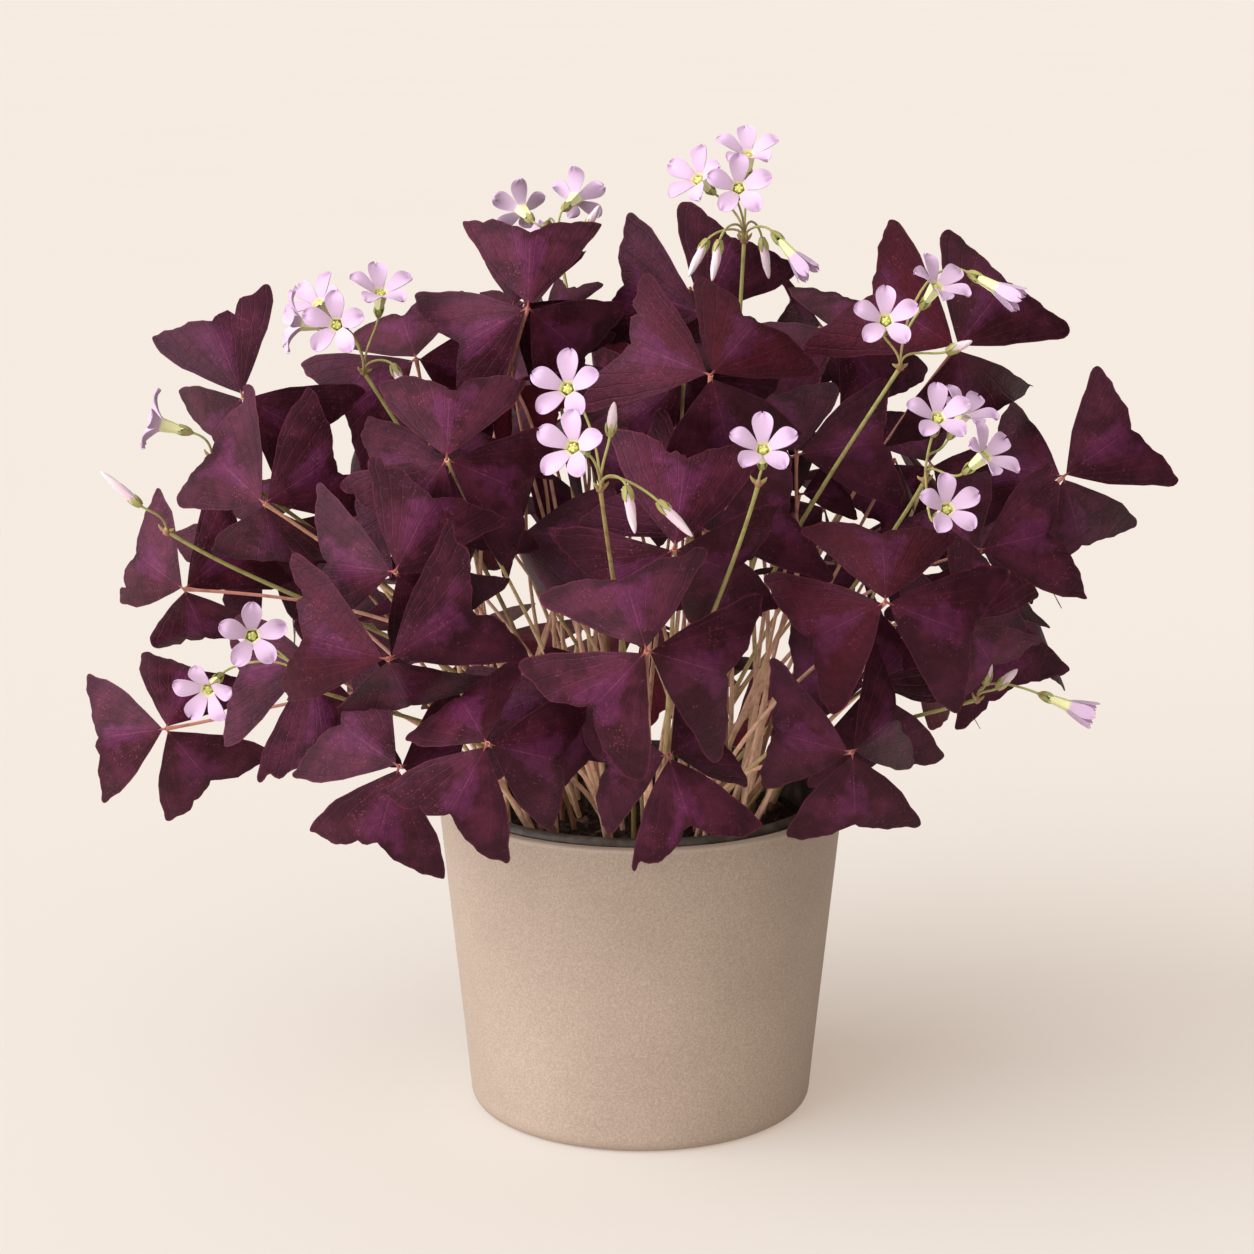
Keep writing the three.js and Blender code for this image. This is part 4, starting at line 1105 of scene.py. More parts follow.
@dataclass
class LeafletForm:
    """The curved sheet of a leaflet, with its sizes given for a length of 1."""

    half_width: float = 0.71
    fold: float = math.radians(11)
    arch: float = 0.1
    cup: float = 0.08
    petiolule: float = 2.5 * MM
    root: float = 1.3 * MM
    thickness: float = 0.42 * MM
    edge_thickness: float = 0.2 * MM
    corner_from: float = 0.92
    corner_power: float = 2.1
    notch_power: float = 2.1
    edge_waves: tuple[tuple[float, float, int], ...] = ((0.013, 7, 0), (0.009, 15, 1), (0.006, 31, 6))
    side_waves: tuple[tuple[float, float, int], ...] = ((0.025, 9, 3), (0.012, 23, 7))
    side_ripple: float = 0.018
    end_ripple: float = 0.014
    groove_depth: float = 0.008
    groove_width: float = 0.03
    columns: int = 20
    rows: int = 13

    def waves(self, kinds: Sequence[tuple[float, float, int]], along: Array, phase: Array) -> Array:
        """Adds up waves, each with its height, its turns and the number of its phase."""
        return sum(height * np.sin(turns * along + phase[number]) for height, turns, number in kinds)

    def far_edge(self, u: Array, uneven: Unevenness) -> Array:
        """Returns how far along the midrib the far edge lies, for u from -1 to 1 across."""
        edge = 1 - (1 - uneven.notch) * (1 - np.abs(u)) ** self.notch_power
        edge = edge + self.waves(self.edge_waves, u, uneven.phase)
        for place, depth, width in uneven.nicks:
            edge = edge - depth * np.exp(-(((u - place) / width) ** 2))
        return edge

    def grid(self, columns: int, rows: int) -> tuple[Array, Array]:
        """Returns the grid of u and v, from right to left and from the root out, with rounded lobes.

        Args:
            columns: Points across.
            rows: Points along.

        Returns:
            The two arrays.
        """
        side = np.sin(np.linspace(0, 0.5 * math.pi, columns + 1)) ** 1.15
        out = np.sin(np.linspace(0, 0.5 * math.pi, rows + 1)) ** 1.1
        u, v = np.meshgrid(np.concatenate([side[::-1], -side[1:]]), out)
        a = np.clip((np.abs(u) - self.corner_from) / (1 - self.corner_from), 0, None)
        b = np.clip((v - self.corner_from) / (1 - self.corner_from), 0, None)
        most = np.maximum(a, b)
        norm = (a**self.corner_power + b**self.corner_power) ** (1 / self.corner_power)
        pull = np.where((a > 0) & (b > 0), most / np.maximum(norm, 1e-9), 1)
        start = self.corner_from
        u_round = np.sign(u) * np.where(a > 0, start + (1 - start) * a * pull, np.abs(u))
        v_round = np.where(b > 0, start + (1 - start) * b * pull, v)
        return u_round, v_round

    def surface(self, leaflet: Leaflet, u: Array, v: Array) -> Array:
        """Returns the points of a leaflet's middle surface.

        Args:
            leaflet: The leaflet.
            u: Places across.
            v: Places along.

        Returns:
            The points.
        """
        uneven = leaflet.uneven
        phase = uneven.phase
        along = v * (1 + (self.far_edge(u, uneven) - 1) * v**1.5)
        across = self.half_width * u * v + np.sign(u) * uneven.bulge * 4 * v * (1 - v) * np.abs(u) ** 3
        across = across * (1 + self.waves(self.side_waves, v, phase) * np.abs(u))
        fall = np.abs(across) * math.sin(self.fold) + self.arch * along**2
        fall = fall + self.cup * across**2 / self.half_width
        wave = self.side_ripple * np.sin(6 * v + phase[4] + 2 * np.sign(u)) * np.abs(u) ** 2 * v
        wave = wave + self.end_ripple * np.sin(5 * u + phase[5]) * v**2
        groove = self.groove_depth * np.exp(-((u * v / self.groove_width) ** 2)) * blend_step(v, 0, 0.2)
        fall = fall + wave + groove
        size = leaflet.length
        side = np.cross(leaflet.rib, leaflet.normal)
        return (
            leaflet.hub
            + leaflet.rib * (self.root + along * (size + self.petiolule - self.root))[..., None]
            + side * (across * math.cos(self.fold) * size)[..., None]
            - leaflet.normal * (fall * size)[..., None]
        )

    def samples(self, leaf: Leaf, columns: int, rows: int) -> Array:
        """Returns points spread over a leaf's leaflets."""
        u, v = self.grid(columns, rows)
        return np.concatenate([self.surface(leaflet, u, v).reshape(-1, 3) for leaflet in leaf.leaflets])

    def add(self, draft: Draft, leaflet: Leaflet, tone: float, share: float = 1.0) -> None:
        """Adds a leaflet to a draft.

        Args:
            draft: The draft.
            leaflet: The leaflet.
            tone: Its tone.
            share: How fine its mesh is, 1 for the finest.
        """
        u, v = self.grid(round(self.columns * share), round(self.rows * share))
        middle = self.surface(leaflet, u, v)
        near_edge = np.maximum(blend_step(np.abs(u), 0.75, 1), blend_step(v, 0.8, 1))
        half = 0.5 * (self.thickness + (self.edge_thickness - self.thickness) * near_edge)
        offset = leaflet.normal * half[..., None]
        places = np.stack([u, v, np.full(u.shape, tone)], axis=-1)
        self.add_sheet(draft, middle + offset, middle - offset, places)

    def add_sheet(self, draft: Draft, top: Array, under: Array, places: Array) -> None:
        """Adds the two skins of a leaflet, whose first row is a single root point on each side.

        Args:
            draft: Takes the skins.
            top: The upper skin's points, by rows.
            under: The lower skin's.
            places: The places of both.
        """
        rows, columns = top.shape[:2]
        centre = columns // 2
        blade_top = draft.add(top[1:], places[1:])
        blade_under = draft.add(under[1:], places[1:])
        root_top = draft.add(top[0, centre], places[0, centre])
        root_under = draft.add(under[0, centre], places[0, centre])
        upper = [(blade_top + j + 1, blade_top + j, root_top) for j in range(columns - 1)]
        lower = [(root_under, blade_under + j, blade_under + j + 1) for j in range(columns - 1)]
        upper += grid_quads(blade_top, rows - 1, columns)
        lower += [face[::-1] for face in grid_quads(blade_under, rows - 1, columns)]
        rim = grid_rim(rows - 1, columns)
        edge = []
        for a, b in zip(rim, rim[1:]):
            edge.append((blade_top + a, blade_top + b, blade_under + b, blade_under + a))
        edge.append((root_top, blade_top + rim[0], blade_under + rim[0], root_under))
        edge.append((root_under, blade_under + rim[-1], blade_top + rim[-1], root_top))
        draft.cover(upper, 0)
        draft.cover(lower, 1)
        draft.cover(edge, 0)


@dataclass
class LeafReader:
    """Finds the leaves in a tuft's plain solid.

    In the solid each leaflet is a fan of nine triangles round a point of its midrib on the upper and
    on the lower side, and its petiole is a chain of rings of three points.
    """

    petiolule: float
    notch: float = 0.8
    arch: float = 0.12
    fan: int = 9
    lobes: tuple[int, int] = (1, 7)
    notch_corner: int = 4
    root_edge: float = 4 * MM
    blade_gap: float = 0.8 * MM
    gap_error: float = 0.02 * MM
    hub_reach: float = 0.4 * MM
    rib_share: float = 0.5
    ring_share: float = 0.2
    most_rings: int = 4

    def read(self, tuft: Piece) -> list[Leaf]:
        """Returns the leaves of a tuft.

        Args:
            tuft: The tuft's solid.

        Returns:
            The leaves.
        """
        work = welded(tuft.data)
        found = self.pairs(self.fans(work))
        leaves = []
        while found:
            hub = found[0][0].hub
            near = [bool(np.linalg.norm(item[0].hub - hub) < self.hub_reach) for item in found]
            group = [item for item, same in zip(found, near) if same]
            found = [item for item, same in zip(found, near) if not same]
            middle = np.mean([item[0].hub for item in group], axis=0)
            leaflets = [item[0] for item in group]
            if len(leaflets) == 2:
                leaflets.append(self.third(*leaflets))
            for leaflet in leaflets:
                leaflet.hub = middle
            own = set().union(*(item[1] for item in group))
            roots = set().union(*(item[2] for item in group))
            leaves.append(Leaf(middle, leaflets, self.route(work, roots, own, middle)))
        work.free()
        return leaves

    def third(self, first: Leaflet, second: Leaflet) -> Leaflet:
        """Works out a leaf's third leaflet, whose fan a petiole passes through, from the other two."""
        axis = unit(first.normal + second.normal)
        both = first.rib + second.rib
        rise = 0.5 * float(np.dot(both, axis))
        out = -unit(both - axis * np.dot(both, axis))
        rib = unit(out * math.sqrt(1 - rise**2) + axis * rise)
        normal = unit(axis - rib * np.dot(axis, rib))
        return Leaflet(first.hub, rib, normal, 0.5 * (first.length + second.length))

    def fans(self, work: bmesh.types.BMesh) -> list[tuple[Array, Array, list[int]]]:
        """Returns each fan's middle, its ring of points in order from the root, and their numbers.

        Args:
            work: The tuft's merged mesh.

        Returns:
            The fans.
        """
        fans = []
        for vert in work.verts:
            if len(vert.link_edges) != self.fan or len(vert.link_faces) != self.fan:
                continue
            after = {}
            for face in vert.link_faces:
                verts = list(face.verts)
                if len(verts) != 3:
                    break
                i = verts.index(vert)
                after[verts[(i + 1) % 3].index] = verts[(i + 2) % 3].index
            if len(after) != self.fan:
                continue
            ring = [next(iter(after))]
            while len(ring) < self.fan and after.get(ring[-1]) is not None:
                ring.append(after[ring[-1]])
            if len(set(ring)) != self.fan:
                continue
            points = np.array([work.verts[i].co for i in ring])
            gaps = np.linalg.norm(points - np.roll(points, 1, axis=0), axis=1)
            start = int(np.argmin(gaps))
            if gaps[start] > self.root_edge or np.sort(gaps)[1] < self.root_edge:
                continue
            ring = ring[start:] + ring[:start]
            fans.append((np.array(vert.co), np.roll(points, -start, axis=0), ring + [vert.index]))
        return fans

    def pairs(self, fans: list[tuple[Array, Array, list[int]]]) -> list[tuple[Leaflet, set[int], set[int]]]:
        """Pairs the fans of the two sides.

        Args:
            fans: The fans.

        Returns:
            For each leaflet: the leaflet, the numbers of its points, and those of its root points.
        """
        found = []
        used: set[int] = set()
        for i, (middle, ring, numbers) in enumerate(fans):
            if i in used:
                continue
            for j in range(i + 1, len(fans)):
                gap = np.linalg.norm(fans[j][0] - middle)
                if j in used or abs(gap - self.blade_gap) > self.gap_error:
                    continue
                other, other_ring, other_numbers = fans[j]
                used.update({i, j})
                leaflet = self.leaflet(middle, other, ring, other_ring)
                end = self.fan - 1
                roots = {numbers[0], numbers[end], other_numbers[0], other_numbers[end]}
                found.append((leaflet, set(numbers + other_numbers), roots))
                break
        return found

    def leaflet(self, first: Array, second: Array, first_ring: Array, second_ring: Array) -> Leaflet:
        """Works out a leaflet from its two rib points and the rings round them.

        Args:
            first: The rib point on one side.
            second: The rib point on the other.
            first_ring: The ring round the first.
            second_ring: The ring round the second.

        Returns:
            The leaflet.
        """
        normal = unit(first - second)
        rib_point = 0.5 * (first + second)
        lobes = 0.5 * (first_ring[self.lobes[0]] + first_ring[self.lobes[1]])
        if np.dot(lobes - rib_point, normal) > 0:
            normal = -normal
        notch_point = 0.5 * (first_ring[self.notch_corner] + second_ring[self.notch_corner])
        run = notch_point - rib_point
        share = self.rib_share
        half_run = self.notch * share
        drop = self.arch * self.notch**2 * (1 - share**2)
        length = float(np.linalg.norm(run) / math.hypot(half_run, drop))
        rib = unit(run + normal * drop * length)
        rib = unit(rib - normal * np.dot(rib, normal))
        rib_drop = self.arch * half_run**2
        hub = rib_point - rib * (self.petiolule + half_run * length) + normal * rib_drop * length
        return Leaflet(hub, rib, normal, length)

    def route(self, work: bmesh.types.BMesh, roots: set[int], own: set[int], hub: Array) -> list[Array]:
        """Follows the rings of the petiole down from the hub and fits a curve to them."""
        centres = [hub, *follow_rings(work, roots, own, self.most_rings)]
        places = [1 - self.ring_share * step for step in range(len(centres))]
        if len(centres) < 4:
            return []
        return fit_cubic(centres, places)


@dataclass
class LeafMaker:
    """Adds leaves to drafts: the leaflets to one, the petiole and the joint under the hub to another."""

    form: LeafletForm = field(default_factory=LeafletForm)
    petiole_steps: int = 26
    foot_radius: float = 0.95 * MM
    neck_radius: float = 0.6 * MM
    joint_radius: float = 0.85 * MM
    stalk_radius: float = 0.4 * MM
    stalk_taper: tuple[float, ...] = (1.3, 1.1, 0.95, 0.8, 0.3)
    stalk_sink: float = 0.2 * MM
    joint_finish: int = 1

    def add_leaf(self, draft: Draft, leaf: Leaf, draws: Draws, share: float = 1.0) -> None:
        """Adds a leaf's leaflets, which are close to each other in tone."""
        leaf_tone = draws.uniform(0.0, 1.0)
        for leaflet in leaf.leaflets:
            self.form.add(draft, leaflet, leaf_tone + draws.uniform(-0.12, 0.12), share)

    def add_petiole(self, draft: Draft, leaf: Leaf, draws: Draws) -> None:
        """Adds a leaf's petiole and the three short stalks of its leaflets.

        Args:
            draft: Takes the tubes.
            leaf: The leaf.
            draws: The random draws.
        """
        tone = draws.uniform(0, 1)
        line = cubic(leaf.route, self.petiole_steps)
        t = np.linspace(0, 1, len(line))
        radii = self.foot_radius + (self.neck_radius - self.foot_radius) * blend_step(t, 0, 0.75)
        radii += (self.joint_radius - self.neck_radius) * blend_step(t, 0.965, 1)
        draft.tube(line, radii, tone)
        for leaflet in leaf.leaflets:
            out = leaflet.hub + leaflet.rib * self.form.petiolule * 1.5
            out = out - leaflet.normal * self.stalk_sink
            back = leaflet.hub - leaflet.rib * self.stalk_sink
            radii = self.stalk_radius * np.array(self.stalk_taper)
            line = np.array([back + (out - back) * part for part in np.linspace(0, 1, len(radii))])
            draft.tube(line, radii, tone=0.1, sides=7, finish=self.joint_finish)


@dataclass
class Tufts:
    """The tufts of leaves: fine leaflets, petioles and crowns in place of each plain tuft."""

    palette: Palette
    maker: LeafMaker
    soil_top: float = 103 * MM
    foot_gap: tuple[float, float] = (1.6, 1.8)
    crown_finish: int = 2
    scales: int = 7

    def build(self) -> list[Leaf]:
        """Makes the pieces of every tuft.

        Returns:
            All the leaves.
        """
        reader = LeafReader(self.maker.form.petiolule)
        every = []
        names = sorted(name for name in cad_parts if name.startswith("tuft"))
        for number, name in enumerate(names, 1):
            leaves = reader.read(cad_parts[name])
            draws = np.random.default_rng(100 + number)
            for leaf in leaves:
                for leaflet in leaf.leaflets:
                    leaflet.uneven = Unevenness.drawn(draws)
            self.draw_missing_routes(leaves)
            LOG.info("%s: %d leaves, %d leaflets", name, len(leaves), sum(len(x.leaflets) for x in leaves))
            self.add_leaves(number, name, leaves, draws)
            self.add_petioles(number, name, leaves, draws)
            every += leaves
        return every

    def draw_missing_routes(self, leaves: list[Leaf]) -> None:
        """Draws the petioles that the reader can't follow because a blade of the same tuft crosses them.

        Args:
            leaves: The tuft's leaves.
        """
        foot = np.mean([leaf.route[0] for leaf in leaves if leaf.route], axis=0)
        missing = [leaf for leaf in leaves if not leaf.route]
        for number, leaf in enumerate(missing):
            start = foot + np.array([self.foot_gap[0] * (2 * number - 1), self.foot_gap[1], 0]) * MM
            span = float(np.linalg.norm(leaf.hub - start))
            axis = unit(sum(leaflet.normal for leaflet in leaf.leaflets))
            end_tangent = unit(axis + UP)
            leaf.route = [start, start + UP * 0.35 * span, leaf.hub - end_tangent * 0.25 * span, leaf.hub]

    def add_leaves(self, number: int, node: str, leaves: list[Leaf], draws: Draws) -> None:
        """Adds the leaflets of a tuft as one piece."""
        draft = Draft(f"leaves_{number:02d}")
        for leaf in leaves:
            self.maker.add_leaf(draft, leaf, draws)
        piece = draft.build([self.palette.leaf_top, self.palette.leaf_under], crease=60)
        settle(piece, Slot.LEAF, node)

    def add_petioles(self, number: int, node: str, leaves: list[Leaf], draws: Draws) -> None:
        """Adds the petioles, the joints under the leaves and the crown of a tuft as one piece."""
        draft = Draft(f"petioles_{number:02d}")
        for leaf in leaves:
            self.maker.add_petiole(draft, leaf, draws)
        self.add_crown(draft, [leaf.route[0] for leaf in leaves], draws)
        piece = draft.build([self.palette.petiole, self.palette.joint, self.palette.crown])
        settle(piece, Slot.STALK, node)

    def add_crown(self, draft: Draft, feet: list[Array], draws: Draws) -> None:
        """Adds the scaly crown that a tuft's petioles grow from.

        Args:
            draft: Takes the crown.
            feet: The petioles' feet.
            draws: The random draws.
        """
        middle = np.mean(feet, axis=0)
        middle[2] = self.soil_top + 0.5 * MM
        for i in range(self.scales):
            angle = 2 * math.pi * i / self.scales + draws.uniform(-0.2, 0.2)
            shift = np.array([math.cos(angle), math.sin(angle), 0]) * draws.uniform(1.2, 2.4) * MM
            size = vec([draws.uniform(1.3, 2.1), draws.uniform(1.3, 2.1), draws.uniform(2, 3.4)])
            tone, noise = draws.uniform(0, 1), draws.uniform(0.85, 1.15, 12)
            draft.lump(middle + shift, size, tone, noise, self.crown_finish)


@dataclass
class Room:
    """Keeps note of the space that is taken, in two grids of small cells.

    One grid holds where no blade may pass, the other where no stem may pass.
    """

    low: Array
    high: Array
    cell: float = 1.25 * MM
    no_blade: Array = field(init=False)
    no_stem: Array = field(init=False)

    def __post_init__(self) -> None:
        """Makes the empty grids."""
        shape = tuple(np.ceil((self.high - self.low) / self.cell).astype(int) + 1)
        self.no_blade = np.zeros(shape, bool)
        self.no_stem = np.zeros(shape, bool)

    def cells(self, points: Array) -> Array:
        """Returns the cells that points lie in, held inside the grid."""
        numbers = np.floor((points - self.low) / self.cell).astype(int)
        return np.clip(numbers, 0, np.array(self.no_blade.shape) - 1)

    def take(self, points: Array, blade_reach: float, stem_reach: float) -> None:
        """Takes the space round points.

        Args:
            points: The points.
            blade_reach: How far away blades stay.
            stem_reach: How far away stems stay.
        """
        for grid, reach in ((self.no_blade, blade_reach), (self.no_stem, stem_reach)):
            steps = int(reach / self.cell)
            span = np.arange(-steps, steps + 1)
            offsets = np.stack(np.meshgrid(span, span, span), axis=-1).reshape(-1, 3)
            offsets = offsets[np.linalg.norm(offsets, axis=1) * self.cell <= reach]
            places = self.cells(points)
            for offset in offsets:
                moved = np.clip(places + offset, 0, np.array(grid.shape) - 1)
                grid[moved[:, 0], moved[:, 1], moved[:, 2]] = True

    def is_free(self, grid: Array, points: Array) -> bool:
        """Tells whether all the points lie in free cells of a grid."""
        places = self.cells(points)
        return not grid[places[:, 0], places[:, 1], places[:, 2]].any()


@dataclass
class InnerLeaves:
    """More leaves of the same kind inside the crown and behind it, wherever there is room."""

    palette: Palette
    maker: LeafMaker
    room: Room
    most: int = 90
    tries: int = 26000
    routes: int = 10
    blade_to_blade: float = 2.0 * MM
    blade_to_stem: float = 2.2 * MM
    stem_to_blade: float = 2.0 * MM
    stem_to_stem: float = 1.3 * MM
    edge_margin: float = 3 * MM
    inward: tuple[float, float] = (0.5, 0.98)
    sizes: tuple[float, float] = (0.5, 0.9)
    most_drop: float = 26.0
    mesh_share: float = 0.65
    lowest_hub: float = 208 * MM
    front_limit: float = -45 * MM
    side_limit: float = 105 * MM
    rim_height: float = 119 * MM
    rim_inside: float = 59 * MM
    soil_reach: float = 50 * MM
    foot_height: float = 103 * MM
    groups: int = 8

    def build(self, leaves: list[Leaf]) -> None:
        """Finds room for the leaves and makes them in groups of neighbours.

        Args:
            leaves: The tufts' leaves, which are copied.
        """
        draws = np.random.default_rng(4242)
        for leaf in leaves:
            self.take(leaf)
        found: list[Leaf] = []
        for _ in range(self.tries):
            leaf = self.candidate(leaves[int(draws.integers(len(leaves)))], draws)
            if leaf is not None:
                self.take(leaf)
                found.append(leaf)
                if len(found) == self.most:
                    break
        LOG.info("inner leaves: %d", len(found))
        sectors: dict[int, list[Leaf]] = {}
        for leaf in found:
            turn = math.atan2(leaf.hub[1], leaf.hub[0]) / (2 * math.pi)
            sectors.setdefault(int((turn + 0.5) * self.groups) % self.groups, []).append(leaf)
        for number, key in enumerate(sorted(sectors), 1):
            blades = Draft(f"inner_leaves_{number:02d}")
            stems = Draft(f"inner_petioles_{number:02d}")
            for leaf in sectors[key]:
                self.maker.add_leaf(blades, leaf, draws, self.mesh_share)
                self.maker.add_petiole(stems, leaf, draws)
            settle(blades.build([self.palette.leaf_top, self.palette.leaf_under], crease=60), Slot.LEAF)
            settle(stems.build([self.palette.petiole, self.palette.joint]), Slot.STALK)

    def take(self, leaf: Leaf) -> None:
        """Takes the space of a leaf."""
        self.room.take(self.maker.form.samples(leaf, 10, 13), self.blade_to_blade, self.blade_to_stem)
        self.room.take(cubic(leaf.route, 120), self.stem_to_blade, self.stem_to_stem)

    def candidate(self, model: Leaf, draws: Draws) -> Optional[Leaf]:
        """Turns a copy of a leaf round the pot and moves it inward, and keeps it if it has room.

        Args:
            model: The leaf to copy.
            draws: The random draws.

        Returns:
            The new leaf, or None without room.
        """
        angle = draws.uniform(-math.pi, math.pi)
        cos, sin = math.cos(angle), math.sin(angle)
        turn = np.array([[cos, -sin, 0], [sin, cos, 0], [0, 0, 1.0]])
        inward = draws.uniform(*self.inward)
        size = draws.uniform(*self.sizes)
        hub = turn @ model.hub
        hub = hub * np.array([inward, inward, 1]) - UP * draws.uniform(0, self.most_drop) * MM
        if hub[2] < self.lowest_hub or hub[1] < self.front_limit or abs(hub[0]) > self.side_limit:
            return None
        leaflets = []
        for old in model.leaflets:
            rib, normal = turn @ old.rib, turn @ old.normal
            leaflets.append(Leaflet(hub, rib, normal, old.length * size, Unevenness.drawn(draws)))
        leaf = Leaf(hub, leaflets, [])
        points = self.maker.form.samples(leaf, 6, 8)
        inside = (points > self.room.low + self.edge_margin) & (points < self.room.high - self.edge_margin)
        if not inside.all():
            return None
        if not self.room.is_free(self.room.no_blade, points):
            return None
        facing = turn @ unit(model.route[3] - model.route[2])
        for _ in range(self.routes):
            route = self.route(hub, facing, draws)
            line = cubic(route, 110)
            low = line[line[:, 2] < self.rim_height]
            widest = np.hypot(low[:, 0], low[:, 1]).max()
            if widest > self.rim_inside or line[1:, 2].min() < self.foot_height:
                continue
            if self.room.is_free(self.room.no_stem, line[4:-3]):
                leaf.route = route
                return leaf
        return None

    def route(self, hub: Array, facing: Array, draws: Draws) -> list[Array]:
        """Draws the route of a petiole from the soil to a hub."""
        angle = math.atan2(hub[1], hub[0]) + draws.uniform(-1.2, 1.2)
        reach = self.soil_reach * math.sqrt(draws.uniform(0, 1))
        foot = np.array([reach * math.cos(angle), reach * math.sin(angle), self.foot_height])
        span = float(np.linalg.norm(hub - foot))
        lean = unit(foot * np.array([1, 1, 0]) + 1e-6) * draws.uniform(0, 0.3) + UP
        return [foot, foot + unit(lean) * span * 0.35, hub - facing * span * draws.uniform(0.15, 0.35), hub]


# ------------------------------------------------------------------ flowers
@dataclass(frozen=True)
class Bloom:
    """Where a bloom's throat is, the way it faces, and how far it is open."""

    x: float
    y: float
    z: float
    clock: float
    lean: float
    kind: BloomKind = BloomKind.OPEN


@dataclass(frozen=True)
class Bud:
    """Where a bud's foot and its tip are."""

    x: float
    y: float
    z: float
    tip_x: float
    tip_y: float
    tip_z: float

    def ends(self) -> tuple[Array, Array]:
        """Returns the foot and the tip in metres."""
        return vec([self.x, self.y, self.z]), vec([self.tip_x, self.tip_y, self.tip_z])


@dataclass(frozen=True)
class Stalk:
    """A flower stalk: where its pedicels start, and its blooms and buds."""

    node: tuple[float, float, float]
    blooms: tuple[Bloom, ...] = ()
    buds: tuple[Bud, ...] = ()


HALF = BloomKind.HALF
STALKS = (
    Stalk(
        (35, -15, 313),
        (
            Bloom(36, -15, 342, 0, -45),
            Bloom(19, -20, 334, 302, -50),
            Bloom(32, -42, 333, 0, -80),
            Bloom(51, -24, 309, 140, -10, HALF),
        ),
        (
            Bud(22, -20, 313, 17, -25, 304),
            Bud(26, -32, 314, 24, -36, 304),
            Bud(42, 5, 311, 44, 6, 300),
        ),
    ),
    Stalk(
        (-94, -30, 270),
        (
            Bloom(-88, -30, 297, 10, -45),
            Bloom(-101, -52, 289, 280, -78),
            Bloom(-110, -20, 292, 320, -40),
            Bloom(-114, -42, 288, 275, -15),
        ),
        (Bud(-84, -30, 272, -80, -32, 264),),
    ),
    Stalk((-143, -55, 245), (Bloom(-159, -60, 257, 285, -10),)),
    Stalk((-159, -55, 220), (), (Bud(-167, -60, 230, -177, -60, 239),)),
    Stalk(
        (-112, -90, 176),
        (Bloom(-126, -98, 194, 90, -80), Bloom(-141, -98, 176, 215, -55)),
        (Bud(-122, -86, 186, -130, -88, 190),),
    ),
    Stalk(
        (-13, -150, 252),
        (Bloom(-23, -146, 282, 315, -70), Bloom(-21, -164, 267, 290, -65)),
        (
            Bud(-10, -145, 268, -9, -146, 276),
            Bud(-5, -160, 254, -3, -161, 243),
            Bud(5, -152, 248, 13, -154, 240),
        ),
    ),
    Stalk((36, -125, 249), (Bloom(37, -132, 261, 0, -60),)),
    Stalk(
        (85, -60, 276),
        (
            Bloom(79, -72, 293, 0, -72),
            Bloom(97, -55, 302, 35, -40),
            Bloom(117, -50, 301, 120, -10, HALF),
        ),
        (Bud(101, -58, 281, 107, -60, 284),),
    ),
    Stalk(
        (93, -70, 240),
        (
            Bloom(96, -78, 262, 10, -60),
            Bloom(108, -45, 258, 30, -30),
            Bloom(110, -92, 252, 50, -40),
            Bloom(97, -104, 237, 40, -65),
        ),
    ),
    Stalk(
        (113, -60, 163),
        (Bloom(144, -60, 161, 112, -5, HALF),),
        (Bud(116, -60, 169, 117, -60, 176), Bud(120, -62, 168, 125, -62, 173)),
    ),
    Stalk(
        (-30, 75, 300),
        (
            Bloom(-24, 84, 318, 40, 50),
            Bloom(-44, 82, 314, 320, 50),
            Bloom(-36, 98, 302, 200, 60),
        ),
        (Bud(-20, 72, 308, -16, 72, 315),),
    ),
)


@dataclass(frozen=True)
class BloomShape:
    """The sizes of a bloom, how its petals flare, and where along a petal its end starts to round off."""

    radius: float
    depth: float
    throat_radius: float
    widest: float
    flare: float
    end_from: float
    levels_out: bool


@dataclass
class Axes:
    """A bloom's own axes: its foot, the way it faces, and two directions across."""

    foot: Array
    facing: Array
    across: Array = field(init=False)
    upward: Array = field(init=False)

    def __post_init__(self) -> None:
        """Works out the directions across."""
        helper = np.array([1.0, 0, 0]) if abs(self.facing[2]) > 0.9 else UP
        self.across = unit(np.cross(helper, self.facing))
        self.upward = np.cross(self.facing, self.across)

    def point(self, angle: Array, radius: Array, height: Array) -> Array:
        """Returns places at an angle round the axis, a radius from it and a height over the foot."""
        out = np.cos(angle)[..., None] * self.across + np.sin(angle)[..., None] * self.upward
        return self.foot + out * np.asarray(radius)[..., None] + self.facing * np.asarray(height)[..., None]


